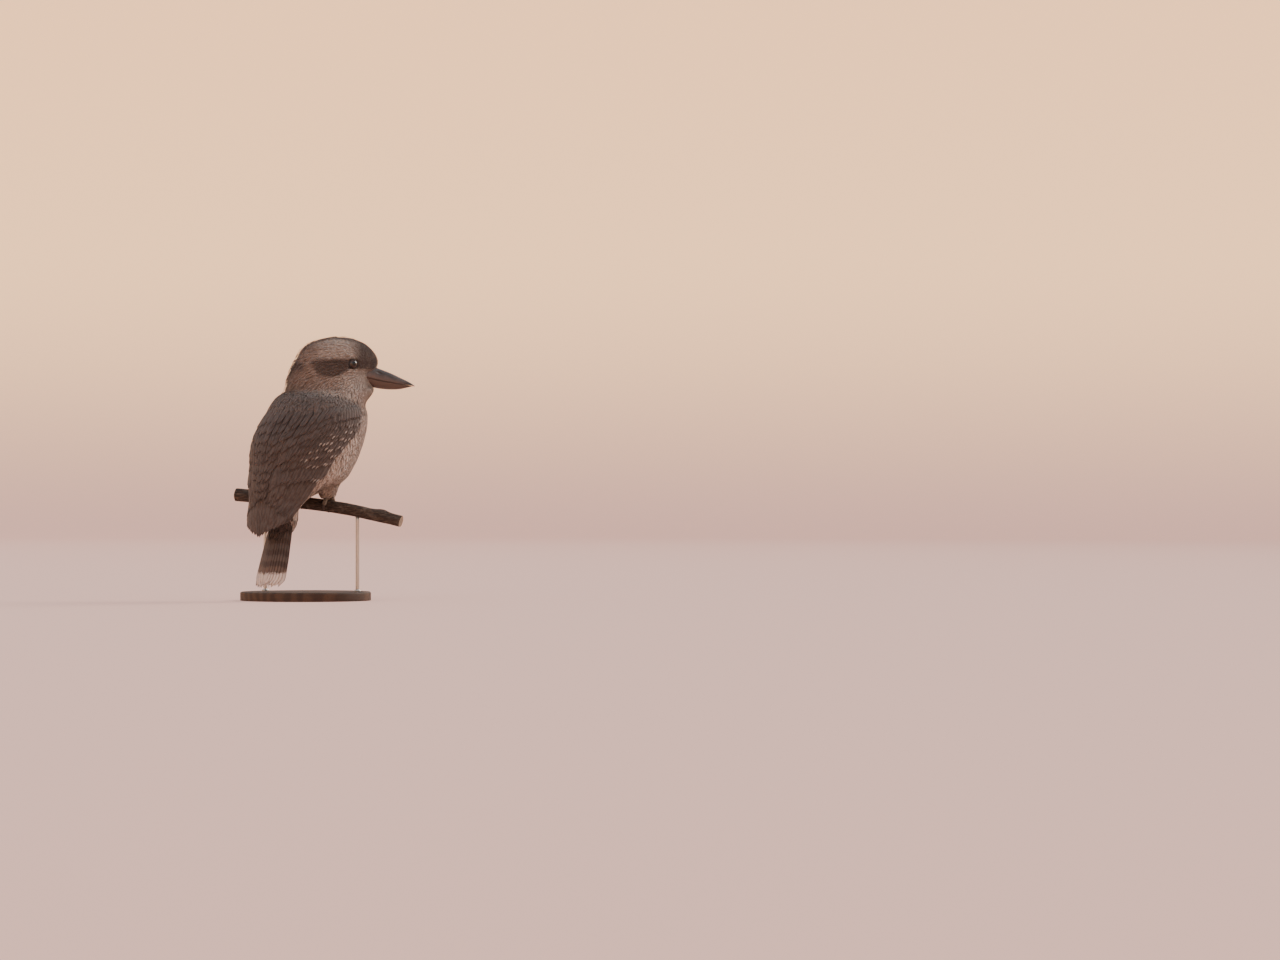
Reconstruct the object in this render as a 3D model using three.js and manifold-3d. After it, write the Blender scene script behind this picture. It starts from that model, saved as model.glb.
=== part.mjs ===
// A laughing kookaburra, life size, perched on a cut length of branch that two rods hold over a flat round base.
// Millimetres, +Z up. The origin is the centre of the base's underside. The body faces +X, +Y is its left,
// and the head is turned to its right. Bird and branch are laid out from the grip, the point on top of the
// branch between the feet, and are then lifted to their height over the base.
import * as THREE from "three";
import { mergeVertices } from "three/addons/utils/BufferGeometryUtils.js";
import Module from "manifold-3d";

const wasm = await Module();
wasm.setup();

const DEG = Math.PI / 180;
const LEFT = 1;
const RIGHT = -1;
const GAP = 0.3; // between two pieces that touch

// The stand, and where the grip is over it
const BASE = { radius: 88, height: 12, chamfer: 2, sides: 48 };
const ROD = { radius: 2.5, places: [-70, 62], sides: 14 };
const TAIL_TIP_DROP = 119; // from the grip down to the tip of the tail
const TAIL_CLEARANCE = 7;
const GRIP = new THREE.Vector3(16, 0, BASE.height + TAIL_CLEARANCE + TAIL_TIP_DROP);

// The branch: its bearing, girth and cut ends
const PERCH = { bearing: -65 * DEG, radius: 8.2, back: 112, front: 124, rings: 18, sides: 14 };

// The body and neck, from the tail's root to the collar, in sections. x, y and z are a section's centre, pitch
// lowers its breast side and yaw turns it; depth and width are half sizes, and egg narrows its front.
const BODY = [
  { x: -63.5, y: 0, z: -17, pitch: 14.7, yaw: 0, depth: 19.6, width: 24, egg: 0 },
  { x: -61, y: 0, z: 2, pitch: 8.5, yaw: 0, depth: 32, width: 37, egg: 0 },
  { x: -47, y: 0, z: 17.5, pitch: 7.5, yaw: 0, depth: 51, width: 49, egg: 0 },
  { x: -29, y: 0, z: 32, pitch: 8.5, yaw: 0, depth: 66, width: 57.5, egg: 0 },
  { x: -17.5, y: 0, z: 51, pitch: 7, yaw: 0, depth: 72, width: 62.5, egg: 0 },
  { x: -9, y: 0, z: 73, pitch: 4, yaw: 0, depth: 76.5, width: 66, egg: 0 },
  { x: -0.5, y: 0, z: 95, pitch: 2.5, yaw: 0, depth: 76, width: 67, egg: 0 },
  { x: 6, y: 0, z: 114, pitch: 2, yaw: 0, depth: 71, width: 65.5, egg: 0 },
  { x: 12, y: 0, z: 131, pitch: 3, yaw: -8, depth: 63, width: 58, egg: 0.02 },
];

// The head, in its own frame: forward along its bearing from its centre, up from the level of the eye's foot
const HEAD = { x: 38, y: -6, z: 178, bearing: -40 };
const SKULL = [
  { forward: -9, up: -34, pitch: 0, depth: 60, width: 51.5, egg: 0.04 },
  { forward: -8.5, up: -25, pitch: 0, depth: 59.5, width: 47, egg: 0.08 },
  { forward: -7.5, up: -13, pitch: 0, depth: 57.5, width: 42.5, egg: 0.14 },
  { forward: -2.5, up: 0, pitch: 0, depth: 57.5, width: 39.5, egg: 0.17 },
  { forward: 0.5, up: 11, pitch: 0, depth: 54.5, width: 37.5, egg: 0.17 },
  { forward: 0, up: 21.5, pitch: 0, depth: 48.5, width: 33.5, egg: 0.14 },
  { forward: 0.5, up: 30.5, pitch: 0, depth: 37.5, width: 26.5, egg: 0.1 },
  { forward: 1.5, up: 36.8, pitch: 0, depth: 21, width: 15.5, egg: 0.05 },
];
const CROWN = { forward: 2, up: 40 };
const TRUNK_SIDES = 28;
const NECK_FOOT = 8; // the section where neck and torso part
const NECK_TOP = 9.75; // the section where head and neck part
const SEAM = 0.012; // of a section's distance, which leaves the gap between two stretches of the trunk

// Sections with the head's laid into the body's frame
function bodySection({ forward, up, ...rest }) {
  const turn = HEAD.bearing * DEG;
  return {
    x: HEAD.x + forward * Math.cos(turn),
    y: HEAD.y + forward * Math.sin(turn),
    z: HEAD.z + up,
    yaw: HEAD.bearing,
    ...rest,
  };
}
const TRUNK = [...BODY, ...SKULL.map(bodySection)];

// A value that runs smoothly through a list of stations
function through(stations, key, at) {
  const last = stations.length - 1;
  const t = Math.min(Math.max(at, 0), last);
  const i = Math.min(Math.floor(t), last - 1);
  const pick = (k) => stations[Math.min(Math.max(k, 0), last)][key];
  const [a, b, c, d] = [pick(i - 1), pick(i), pick(i + 1), pick(i + 2)];
  const u = t - i;
  const bend = 2 * a - 5 * b + 4 * c - d + u * (3 * (b - c) + d - a);
  return b + 0.5 * u * (c - a + u * bend);
}

// A point of the trunk's surface. Angle 0 is the body's back and 90 degrees its left, however its section is turned.
function trunkPoint(at, angle, swell = 0) {
  const value = (key) => through(TRUNK, key, at);
  const yaw = value("yaw") * DEG;
  const depth = value("depth") + swell;
  const width = value("width") + swell;
  const forward = -depth * Math.cos(angle + yaw);
  const aside = width * Math.sin(angle + yaw) * (1 + value("egg") * Math.cos(angle + yaw));
  return new THREE.Vector3(forward, aside, 0)
    .applyAxisAngle(new THREE.Vector3(0, 1, 0), value("pitch") * DEG)
    .applyAxisAngle(new THREE.Vector3(0, 0, 1), yaw)
    .add(new THREE.Vector3(value("x"), value("y"), value("z")));
}

// A closed surface over rings of points, one after another, with its ends filled
function skinned(rings) {
  const count = rings[0].length;
  const positions = rings.flat();
  const index = [];
  for (let r = 0; r + 1 < rings.length; r++) {
    for (let k = 0; k < count; k++) {
      const a = r * count + k;
      const b = r * count + ((k + 1) % count);
      index.push(a, b, b + count, a, b + count, a + count);
    }
  }
  const ends = [
    [0, rings[0], 1],
    [(rings.length - 1) * count, rings.at(-1), -1],
  ];
  for (const [first, ring, turn] of ends) {
    const middle = positions.length;
    const centre = ring.reduce((sum, p) => sum.add(p), new THREE.Vector3());
    positions.push(centre.divideScalar(count));
    for (let k = 0; k < count; k++) {
      const pair = [first + k, first + ((k + 1) % count)];
      if (turn > 0) pair.reverse();
      index.push(middle, ...pair);
    }
  }
  const geometry = new THREE.BufferGeometry().setFromPoints(positions);
  geometry.setIndex(index);
  return geometry;
}

// A geometry as a solid that can be joined and cut, turned to face outwards
function solid(geometry) {
  const bare = geometry.clone();
  bare.deleteAttribute("normal");
  bare.deleteAttribute("uv");
  const merged = mergeVertices(bare, 1e-4);
  const numbers = { numProp: 3, vertProperties: merged.attributes.position.array };
  const triVerts = new Uint32Array(merged.index.array);
  const made = new wasm.Manifold(new wasm.Mesh({ ...numbers, triVerts }));
  if (made.volume() > 0) return made;
  for (let i = 0; i < triVerts.length; i += 3) {
    [triVerts[i + 1], triVerts[i + 2]] = [triVerts[i + 2], triVerts[i + 1]];
  }
  return new wasm.Manifold(new wasm.Mesh({ ...numbers, triVerts }));
}

const joined = (solids) => solids.reduce((sum, piece) => sum.add(piece));

// A solid's largest closed surface, as a geometry
function kept(made) {
  const size = (piece) => Math.abs(piece.volume());
  const largest = made.decompose().reduce((a, b) => (size(b) > size(a) ? b : a));
  const { numProp, vertProperties, triVerts } = largest.getMesh();
  const points = [];
  for (let i = 0; i < vertProperties.length; i += numProp) {
    points.push(new THREE.Vector3().fromArray(vertProperties, i));
  }
  return new THREE.BufferGeometry().setFromPoints(points).setIndex([...triVerts]);
}

// The trunk's three stretches between its sections
const STRETCHES = {
  torso: { from: 0, to: NECK_FOOT - SEAM, rings: 15 },
  neck: { from: NECK_FOOT + SEAM, to: NECK_TOP - SEAM, rings: 4 },
  head: { from: NECK_TOP + SEAM, to: TRUNK.length - 1, rings: 12 },
};

function trunkRings({ from, to, rings }, swell = 0) {
  return Array.from({ length: rings + 1 }, (_, r) => {
    const at = from + ((to - from) * r) / rings;
    const turn = (2 * Math.PI) / TRUNK_SIDES;
    return Array.from({ length: TRUNK_SIDES }, (_, k) => trunkPoint(at, turn * k, swell));
  });
}

// The head's rings, closed over the crown
function headRings(swell = 0) {
  const rings = trunkRings(STRETCHES.head, swell);
  const { x, y, z } = bodySection({ ...CROWN });
  rings.push(rings.at(-1).map((p) => new THREE.Vector3(x, y, z + swell).lerp(p, 0.02)));
  return rings;
}

// The folded wings' outer shell, by height over the grip: x is its middle, depth and width are half sizes, and
// the wing covers it from inner to edge, angles from the line of the back.
const SHELL = [
  { z: 132, x: 12, depth: 62, width: 58, inner: 62, edge: 95 },
  { z: 120, x: 7, depth: 69, width: 66, inner: 36, edge: 99 },
  { z: 108, x: 2.5, depth: 74.5, width: 69, inner: 16, edge: 105 },
  { z: 92, x: -3.5, depth: 79, width: 70.5, inner: 5, edge: 112 },
  { z: 77, x: -10, depth: 81, width: 70.5, inner: 3, edge: 96 },
  { z: 60, x: -16.5, depth: 79.5, width: 69.5, inner: 2.5, edge: 85 },
  { z: 42, x: -23.5, depth: 74.5, width: 66.5, inner: 2, edge: 80 },
  { z: 26, x: -30, depth: 71.5, width: 64.5, inner: 2, edge: 76 },
  { z: 12, x: -37, depth: 66, width: 61.5, inner: 2, edge: 70 },
  { z: 0, x: -44, depth: 59, width: 58, inner: 2, edge: 65 },
  { z: -12, x: -55, depth: 49, width: 54, inner: 3, edge: 61 },
  { z: -24, x: -65.5, depth: 40, width: 51.5, inner: 4, edge: 62 },
  { z: -40, x: -75.5, depth: 31, width: 47.5, inner: 6, edge: 64 },
  { z: -56, x: -81.5, depth: 25, width: 45, inner: 8, edge: 62 },
];
const MIDLINE = 0.5; // each wing stops this far from the line of the back
const CORE = { top: 104, bottom: 6, rings: 8, across: 7, outer: -2, inner: -10, margin: 5 };
const VANE_THICK = 0.65;
const TILT = 1.5; // how much higher a wing vane's leading edge lies than its other edge
const LONG = [0, 0.5, 0.88, 1]; // where a long vane's rings are, as shares of its length
const SHORT = [0, 0.75, 1];

// Rows of vanes on a wing, from the lowest row to the topmost. Roots and tips are given as height and angle from
// the back, for the row's first vane, at the wing's leading edge, and its last. Half is half a vane's width, lift
// the height of the first and last tip off the shell, sink how much lower a root lies, and ripple how much longer
// every second vane is than the others.
const ROWS = [
  {
    row: "primaries", count: 7, steps: LONG, half: 6.2, lift: [-2.9, -1.6], sink: 1.1, ripple: 3,
    roots: [[30, 67], [28, 11]],
    tips: [[-46, 50], [-50, 5]],
  },
  {
    row: "secondaries", count: 5, steps: LONG, half: 8, lift: [-1.8, -1.1], sink: 1.1, ripple: 2,
    roots: [[52, 76], [46, 20]],
    tips: [[-22, 50], [-11, 7]],
  },
  {
    row: "tertials", count: 3, steps: LONG, half: 8.4, lift: [-0.9, -0.5], sink: 1.1, ripple: 0,
    roots: [[66, 38], [70, 17]],
    tips: [[-3, 23], [13, 6]],
  },
  {
    row: "greater coverts", count: 5, steps: SHORT, half: 9, lift: [-0.6, -0.2], sink: 1.1, ripple: 2,
    roots: [[66, 84], [61, 34]],
    tips: [[23, 72], [17, 23]],
  },
  {
    row: "median coverts", count: 5, steps: SHORT, half: 8.8, lift: [-0.1, 0.3], sink: 1.1, ripple: 2,
    roots: [[80, 88], [78, 38]],
    tips: [[46, 75], [42, 27]],
  },
  {
    row: "lesser coverts", count: 4, steps: SHORT, half: 8.6, lift: [0.3, 0.6], sink: 0.7, ripple: 1.5,
    roots: [[100, 101], [97, 58]],
    tips: [[70, 91], [64, 47]],
  },
  {
    row: "marginal coverts", count: 3, steps: SHORT, half: 8.4, lift: [0.4, 0.6], sink: 1.1, ripple: 0,
    roots: [[117, 101], [119, 72]],
    tips: [[89, 102], [85, 73]],
  },
  {
    row: "scapulars", count: 5, steps: SHORT, half: 10.4, lift: [0.7, 1], sink: 1.7, ripple: 2,
    roots: [[122, 80], [97, 15]],
    tips: [[92, 68], [39, 10]],
  },
];

function shellValue(z, key) {
  const below = SHELL.findIndex((station) => station.z <= z);
  const i = below < 0 ? SHELL.length - 1 : Math.max(below, 1);
  const share = (SHELL[i - 1].z - z) / (SHELL[i - 1].z - SHELL[i].z);
  return through(SHELL, key, i - 1 + share);
}

function shellPoint(side, z, degrees, lift = 0) {
  const forward = -(shellValue(z, "depth") + lift) * Math.cos(degrees * DEG);
  const aside = (shellValue(z, "width") + lift) * Math.sin(degrees * DEG);
  return new THREE.Vector3(shellValue(z, "x") + forward, side * aside, z);
}

// How wide a vane is at a share of its length, against its widest, and how thick
const vaneWidth = (t) => (t < 0.75 ? 0.7 + 0.4 * t : 1 - 10 * (t - 0.75) ** 2);
const vaneThick = (t) => (t === 0 ? 0.7 : 1);

// A vane, from a function that places a point by its share of the length, its offset from the shaft and its height.
// Its upper and lower faces are split into triangles alike.
const VANE_STRETCH = [
  [0, 1, 5], [0, 5, 4], [1, 2, 6], [1, 6, 5], [2, 3, 6], [3, 7, 6], [3, 0, 4], [3, 4, 7],
];
const VANE_CORNERS = 4;
function vane(place, half, steps) {
  const points = steps.flatMap((t) => {
    const w = half * vaneWidth(t);
    const h = VANE_THICK * vaneThick(t);
    return [place(t, -w, 0), place(t, w, 0), place(t, w, h), place(t, -w, h)];
  });
  const index = [1, 0, 3, 1, 3, 2];
  for (let ring = 0; ring + 1 < steps.length; ring++) {
    index.push(...VANE_STRETCH.flat().map((corner) => corner + VANE_CORNERS * ring));
  }
  const last = VANE_CORNERS * (steps.length - 1);
  index.push(last, last + 1, last + 2, last, last + 2, last + 3);
  const geometry = new THREE.BufferGeometry().setFromPoints(points);
  return solid(geometry.setIndex(index));
}

// A vane laid along the wing's shell, its root sunk in what lies under it
function shellVane(side, [rootZ, rootAngle], [tipZ, tipAngle], lift, { half, sink, steps }) {
  const place = (t, across, raise) => {
    const z = rootZ + (tipZ - rootZ) * t;
    const angle = rootAngle + (tipAngle - rootAngle) * t;
    const here = shellPoint(side, z, angle);
    const perHeight = shellPoint(side, z + 1, angle).sub(here);
    const perDegree = shellPoint(side, z, angle + 1).sub(here);
    const along = perHeight.clone().multiplyScalar(tipZ - rootZ);
    along.addScaledVector(perDegree, tipAngle - rootAngle);
    const aside = perHeight.clone().cross(perDegree).cross(along).normalize();
    const dz = (across * aside.dot(perHeight)) / perHeight.lengthSq();
    const da = (across * aside.dot(perDegree)) / perDegree.lengthSq();
    const tilted = (-TILT / 2) * (across / half);
    return shellPoint(side, z + dz, angle + da, lift + tilted - sink * (1 - t) + raise);
  };
  return vane(place, half, steps);
}

function wingCore(side) {
  const rings = [];
  for (let r = 0; r <= CORE.rings; r++) {
    const z = CORE.top + ((CORE.bottom - CORE.top) * r) / CORE.rings;
    const [inner, edge] = [shellValue(z, "inner"), shellValue(z, "edge") - CORE.margin];
    const outer = [];
    const under = [];
    for (let k = 0; k <= CORE.across; k++) {
      const angle = inner + ((edge - inner) * k) / CORE.across;
      outer.push(shellPoint(side, z, angle, CORE.outer));
      under.unshift(shellPoint(side, z, angle, CORE.inner));
    }
    rings.push([...outer, ...under]);
  }
  return solid(skinned(rings));
}

// A row's vanes, spaced evenly from its first to its last
function vaneRow(side, row) {
  const { count, roots, tips, lift, ripple } = row;
  const between = ([a, b], share) => a + (b - a) * share;
  const spot = ([first, last], share) => first.map((value, k) => between([value, last[k]], share));
  return Array.from({ length: count }, (_, i) => {
    const share = i / (count - 1);
    const [z, angle] = spot(tips, share);
    const tip = [z - ripple * (i % 2), angle];
    return shellVane(side, spot(roots, share), tip, between(lift, share), row);
  });
}

function wing(side, trunkRoom) {
  const pieces = [wingCore(side), ...ROWS.flatMap((row) => vaneRow(side, row))];
  const reach = 400;
  const other = new THREE.BoxGeometry(reach, reach, reach);
  other.translate(0, side * (MIDLINE - reach / 2), 0);
  return kept(joined(pieces).subtract(solid(other)).subtract(trunkRoom));
}

// The tail: its root is the body's last section, and it leans back from upright. Vanes are listed by their place
// aside from the middle, and the outer ones lie under the inner ones.
const TAIL = { lean: 17.5 * DEG, length: 106.5, half: 8, pairs: 4, root: 17, spread: 22.6, roof: 0.01, layer: 1 };
const TAIL_ROOT = [
  { along: GAP, lift: 0, depth: 19, width: 23.4 },
  { along: 10, lift: -1.5, depth: 16.5, width: 21.5 },
  { along: 20, lift: -3.5, depth: 12.5, width: 19 },
  { along: 27, lift: -3.5, depth: 8, width: 16.5 },
  { along: 34, lift: -1.5, depth: 4, width: 13.5 },
  { along: 42, lift: 0.5, depth: 1.4, width: 9 },
];
const COVERTS_PER_SIDE = 2;

function tailPoint(along, aside, lift) {
  const roofed = lift - TAIL.roof * aside * aside;
  return new THREE.Vector3(
    BODY[0].x - along * Math.sin(TAIL.lean) - roofed * Math.cos(TAIL.lean),
    aside,
    BODY[0].z - along * Math.cos(TAIL.lean) + roofed * Math.sin(TAIL.lean),
  );
}

function tailVane(from, to, half, steps) {
  const place = (t, across, raise) => {
    const mix = (key) => from[key] + (to[key] - from[key]) * t;
    return tailPoint(mix("along"), mix("aside") + across, mix("lift") + raise);
  };
  return vane(place, half, steps);
}

function tail(trunkRoom) {
  const sides = 16;
  const root = TAIL_ROOT.map(({ along, lift, depth, width }) => {
    const ring = [];
    for (let k = 0; k < sides; k++) {
      const angle = (2 * Math.PI * k) / sides;
      ring.push(tailPoint(along, width * Math.sin(angle), lift + depth * Math.cos(angle)));
    }
    return ring;
  });
  const pieces = [solid(skinned(root))];
  for (let pair = 0; pair < TAIL.pairs; pair++) {
    for (const side of [LEFT, RIGHT]) {
      const share = (pair + 0.5) / TAIL.pairs;
      const under = pair === 0 && side === RIGHT ? 0.6 : 0;
      const lift = 2.2 - TAIL.layer * (pair + under);
      const from = { along: 8, aside: side * TAIL.root * share, lift: lift - 0.5 };
      const to = { along: TAIL.length - 4 * share * share, aside: side * TAIL.spread * share, lift };
      pieces.push(tailVane(from, to, TAIL.half, LONG));
    }
  }
  for (let k = -COVERTS_PER_SIDE; k <= COVERTS_PER_SIDE; k++) {
    const share = k / COVERTS_PER_SIDE;
    const over = { along: 3, aside: 13 * share, lift: 16.5 - 3 * share * share };
    const overTip = { along: 40 - 5 * Math.abs(share), aside: 12 * share, lift: 3 };
    pieces.push(tailVane(over, overTip, 8, SHORT));
    const under = { along: 3, aside: 15 * share, lift: -18.5 + 6 * share * share };
    const underTip = { along: 31 - 4 * Math.abs(share), aside: 13 * share, lift: -11 + 3 * share * share };
    pieces.push(tailVane(under, underTip, 8, SHORT));
  }
  return kept(joined(pieces).subtract(trunkRoom));
}

// The bill, in the head's frame: sections by how far forward they are, with the ridge, the mouth line, the keel
// and half the width
const BILL = [
  { forward: 30, ridge: 5, mouth: -12.5, keel: -22, width: 13.6 },
  { forward: 44, ridge: 2.5, mouth: -15.8, keel: -26.5, width: 13.2 },
  { forward: 56, ridge: -2.2, mouth: -18.5, keel: -29.4, width: 11.8 },
  { forward: 71, ridge: -7.9, mouth: -21, keel: -30.9, width: 9.4 },
  { forward: 85, ridge: -14.4, mouth: -23.2, keel: -30.6, width: 6.7 },
  { forward: 96, ridge: -19.6, mouth: -24.6, keel: -28.6, width: 4.2 },
  { forward: 102.5, ridge: -23.4, mouth: -25.7, keel: -27, width: 2.2 },
];
const BILL_TIP = { forward: 106, ridge: -26.2, mouth: -26.9, keel: -26.4, width: 0.5 };
const LOWER_SHORTER = 2.4;
const MOUTH_GAP = 0.35;
const BILL_RINGS = 12;
const BILL_ARC = 10;
const NOSTRIL = { forward: 56.5, up: -8.5, aside: 9.4, length: 3.4, height: 1.1, depth: 1.6, slope: -22 * DEG };

// A point in the head's frame, laid in the body's
function headPoint(forward, aside, up) {
  return new THREE.Vector3(forward, aside, up)
    .applyAxisAngle(new THREE.Vector3(0, 0, 1), HEAD.bearing * DEG)
    .add(new THREE.Vector3(HEAD.x, HEAD.y, HEAD.z));
}

function mandible(far, gap, shorter, roundness) {
  const stations = [...BILL, BILL_TIP];
  const rings = [];
  for (let r = 0; r <= BILL_RINGS; r++) {
    const at = ((stations.length - 1) * r) / BILL_RINGS;
    const value = (key) => through(stations, key, at);
    const forward = value("forward") - (shorter * r) / BILL_RINGS;
    const seam = value("mouth") + gap;
    const ring = [];
    for (let k = 0; k <= BILL_ARC; k++) {
      const angle = (Math.PI * k) / BILL_ARC;
      const height = (value(far) - seam) * Math.sin(angle) ** roundness;
      ring.push(headPoint(forward, value("width") * Math.cos(angle), seam + height));
    }
    rings.push(ring);
  }
  return solid(skinned(rings));
}

function nostril(side) {
  const hole = new THREE.SphereGeometry(1, 10, 8);
  hole.scale(NOSTRIL.length, NOSTRIL.depth, NOSTRIL.height);
  hole.rotateY(-NOSTRIL.slope);
  hole.translate(NOSTRIL.forward, side * NOSTRIL.aside, NOSTRIL.up);
  hole.rotateZ(HEAD.bearing * DEG);
  hole.translate(HEAD.x, HEAD.y, HEAD.z);
  return solid(hole);
}

// The eyes, in the head's frame, and the ring of lid round each
const EYE = { forward: 18, up: 2.5, aside: 29, radius: 7, turn: 14 * DEG, raise: 6 * DEG };
const LID = { radius: 5.9, thick: 1.15, out: 4.1 };

function eyeball(side, radius) {
  const ball = new THREE.SphereGeometry(radius, 14, 9);
  const { x, y, z } = headPoint(EYE.forward, side * EYE.aside, EYE.up);
  return ball.translate(x, y, z);
}

function lid(side) {
  const ring = new THREE.TorusGeometry(LID.radius, LID.thick, 5, 16);
  const outward = new THREE.Vector3(Math.sin(EYE.turn), side * Math.cos(EYE.turn), Math.sin(EYE.raise));
  outward.normalize();
  const facing = new THREE.Quaternion().setFromUnitVectors(new THREE.Vector3(0, 0, 1), outward);
  ring.applyQuaternion(facing);
  ring.translate(
    EYE.forward + outward.x * LID.out,
    side * EYE.aside + outward.y * LID.out,
    EYE.up + outward.z * LID.out,
  );
  ring.rotateZ(HEAD.bearing * DEG);
  ring.translate(HEAD.x, HEAD.y, HEAD.z);
  return solid(ring);
}

// Two tiers of loose feathers down the nape. Roots and tips are distances along the trunk's sections.
const NAPE = { middle: 40 * DEG, spread: 34 * DEG, radius: 57, half: 6.4, sink: 1.4 };
const NAPE_TIERS = [
  { count: 4, root: 13.4, tip: 11.5, lift: 1.9 },
  { count: 3, root: 15.2, tip: 13.2, lift: 2.3 },
];

function napeVanes({ count, root, tip, lift }) {
  return Array.from({ length: count }, (_, i) => {
    const middle = NAPE.middle + NAPE.spread * ((2 * i) / (count - 1) - 1);
    const place = (t, across, raise) => {
      const swell = lift * t - NAPE.sink * (1 - t) + raise;
      return trunkPoint(root + (tip - root) * t, middle + across / NAPE.radius, swell);
    };
    return vane(place, NAPE.half, SHORT);
  });
}

function head() {
  const skull = solid(skinned(headRings()));
  const pieces = [skull, lid(LEFT), lid(RIGHT), ...NAPE_TIERS.flatMap(napeVanes)];
  const socket = (side) => solid(eyeball(side, EYE.radius + GAP));
  return kept(joined(pieces).subtract(socket(LEFT)).subtract(socket(RIGHT)));
}

// The branch's middle line: straight on the bird's left, drooping on its right
const PERCH_DIRECTION = new THREE.Vector3(Math.cos(PERCH.bearing), Math.sin(PERCH.bearing), 0);
const PERCH_FRONT = new THREE.Vector3(-Math.sin(PERCH.bearing), Math.cos(PERCH.bearing), 0);
const PERCH_SLOPE = -0.115;
const PERCH_DROOP = 0.0006;
const UP = new THREE.Vector3(0, 0, 1);
const KNOT = { at: 96, spread: 9, height: 2.6, angle: 30 * DEG };

const perchMiddle = (along) =>
  PERCH_DIRECTION.clone()
    .multiplyScalar(along)
    .addScaledVector(UP, -PERCH.radius + PERCH_SLOPE * along - PERCH_DROOP * Math.max(along, 0) ** 2);

function perchRadius(along, angle) {
  const girth = PERCH.radius * (1 - 0.0006 * along);
  const away = Math.min(Math.max((Math.abs(along) - 38) / 25, 0), 1);
  const bark = 0.25 * Math.sin(3 * angle + along * 0.06) + 0.2 * Math.sin(5 * angle - along * 0.09);
  const fromKnot = ((along - KNOT.at) / KNOT.spread) ** 2 + ((angle - KNOT.angle) / 0.7) ** 2;
  return girth + away * bark + KNOT.height * Math.exp(-fromKnot);
}

// A point round the branch: angle 0 is its top and 90 degrees its front
function perchPoint(along, angle, distance) {
  const tangent = perchMiddle(along + 0.5).sub(perchMiddle(along - 0.5)).normalize();
  const top = UP.clone().addScaledVector(tangent, -tangent.z).normalize();
  return perchMiddle(along)
    .addScaledVector(PERCH_FRONT, distance * Math.sin(angle))
    .addScaledVector(top, distance * Math.cos(angle));
}

function perch(swell = 0) {
  const rings = [];
  for (let r = 0; r <= PERCH.rings; r++) {
    const along = -PERCH.back + ((PERCH.back + PERCH.front) * r) / PERCH.rings;
    const ring = [];
    for (let k = 0; k < PERCH.sides; k++) {
      const angle = -Math.PI + (2 * Math.PI * k) / PERCH.sides;
      ring.push(perchPoint(along, angle, perchRadius(along, angle) + swell));
    }
    rings.push(ring);
  }
  return skinned(rings);
}

// The legs: a feathered boot over a short shank, three toes over the front of the branch and one behind it
const FEET_APART = 39;
const BOOT = { height: 30, top: 21, bottom: 10, back: 2, sides: 14 };
const SHANK = { height: 3, radius: 5 };
const TOE = { thick: 3.4, taper: 0.78, sides: 6, rings: 5 };
const CLAW = { length: 42 * DEG, rings: 3, out: 1.6 };
const TOES = [
  { spread: -4.6, reach: 100 * DEG, turn: 1 }, // outer, laid against the middle one
  { spread: 0, reach: 114 * DEG, turn: 1 },
  { spread: 7, reach: 96 * DEG, turn: 1 },
  { spread: 1.5, reach: 88 * DEG, turn: -1 },
];

const footPlace = (side) => (-side * FEET_APART) / 2;
const branchTop = (along) => perchMiddle(along).z + PERCH.radius;

// A round bar along the branch's own curve, from lists of where each ring stands
function curvedBar(stations) {
  const rings = stations.map(({ along, angle, distance, radius }, i) => {
    const ring = [];
    const next = stations[Math.min(i + 1, stations.length - 1)];
    const last = stations[Math.max(i - 1, 0)];
    const at = (s) => perchPoint(s.along, s.angle, s.distance);
    const ahead = at(next).sub(at(last)).normalize();
    const aside = PERCH_DIRECTION.clone().addScaledVector(ahead, -PERCH_DIRECTION.dot(ahead)).normalize();
    const out = ahead.clone().cross(aside);
    const middle = perchPoint(along, angle, distance);
    for (let k = 0; k < TOE.sides; k++) {
      const turn = (2 * Math.PI * k) / TOE.sides;
      ring.push(
        middle
          .clone()
          .addScaledVector(aside, radius * Math.cos(turn))
          .addScaledVector(out, radius * Math.sin(turn)),
      );
    }
    return ring;
  });
  return solid(skinned(rings));
}

function toe(place, { spread, reach, turn }, swell) {
  const bar = [];
  for (let r = 0; r <= TOE.rings; r++) {
    const share = r / TOE.rings;
    const knuckle = 1 + 0.07 * Math.cos(3 * 2 * Math.PI * share);
    const end = share === 1 ? 0.6 : 1;
    const radius = TOE.thick * (1 + (TOE.taper - 1) * share) * knuckle * end + swell;
    const along = place + spread * (0.5 + 0.5 * share);
    const distance = PERCH.radius + 1.5 * GAP + radius - swell;
    bar.push({ along, angle: turn * reach * share, distance, radius });
  }
  const claw = [];
  for (let r = 0; r <= CLAW.rings; r++) {
    const share = r / CLAW.rings;
    const radius = 1.9 * (1 - share) ** 0.7 + 0.25 + swell;
    const bulge = CLAW.out * Math.sin(Math.PI * (0.2 + 0.8 * share));
    const distance = PERCH.radius + 2.6 * (1 - 0.55 * share) + bulge;
    const angle = turn * (reach - 5 * DEG + CLAW.length * share);
    claw.push({ along: place + spread, angle, distance, radius });
  }
  return [curvedBar(bar), curvedBar(claw)];
}

function shank(place, swell) {
  const height = SHANK.height + 3;
  const bar = new THREE.CylinderGeometry(SHANK.radius * 0.9 + swell, SHANK.radius + swell, height, 12);
  const { x, y } = perchMiddle(place);
  bar.rotateX(Math.PI / 2);
  return solid(bar.translate(x, y, branchTop(place) + height / 2 + 1));
}

// A foot with its shank, before it is cut to fit round the branch
function footSolid(side, swell = 0) {
  const place = footPlace(side);
  const toes = TOES.flatMap(({ spread, ...rest }) => toe(place, { spread: side * spread, ...rest }, swell));
  return joined([shank(place, swell), ...toes]);
}

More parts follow.
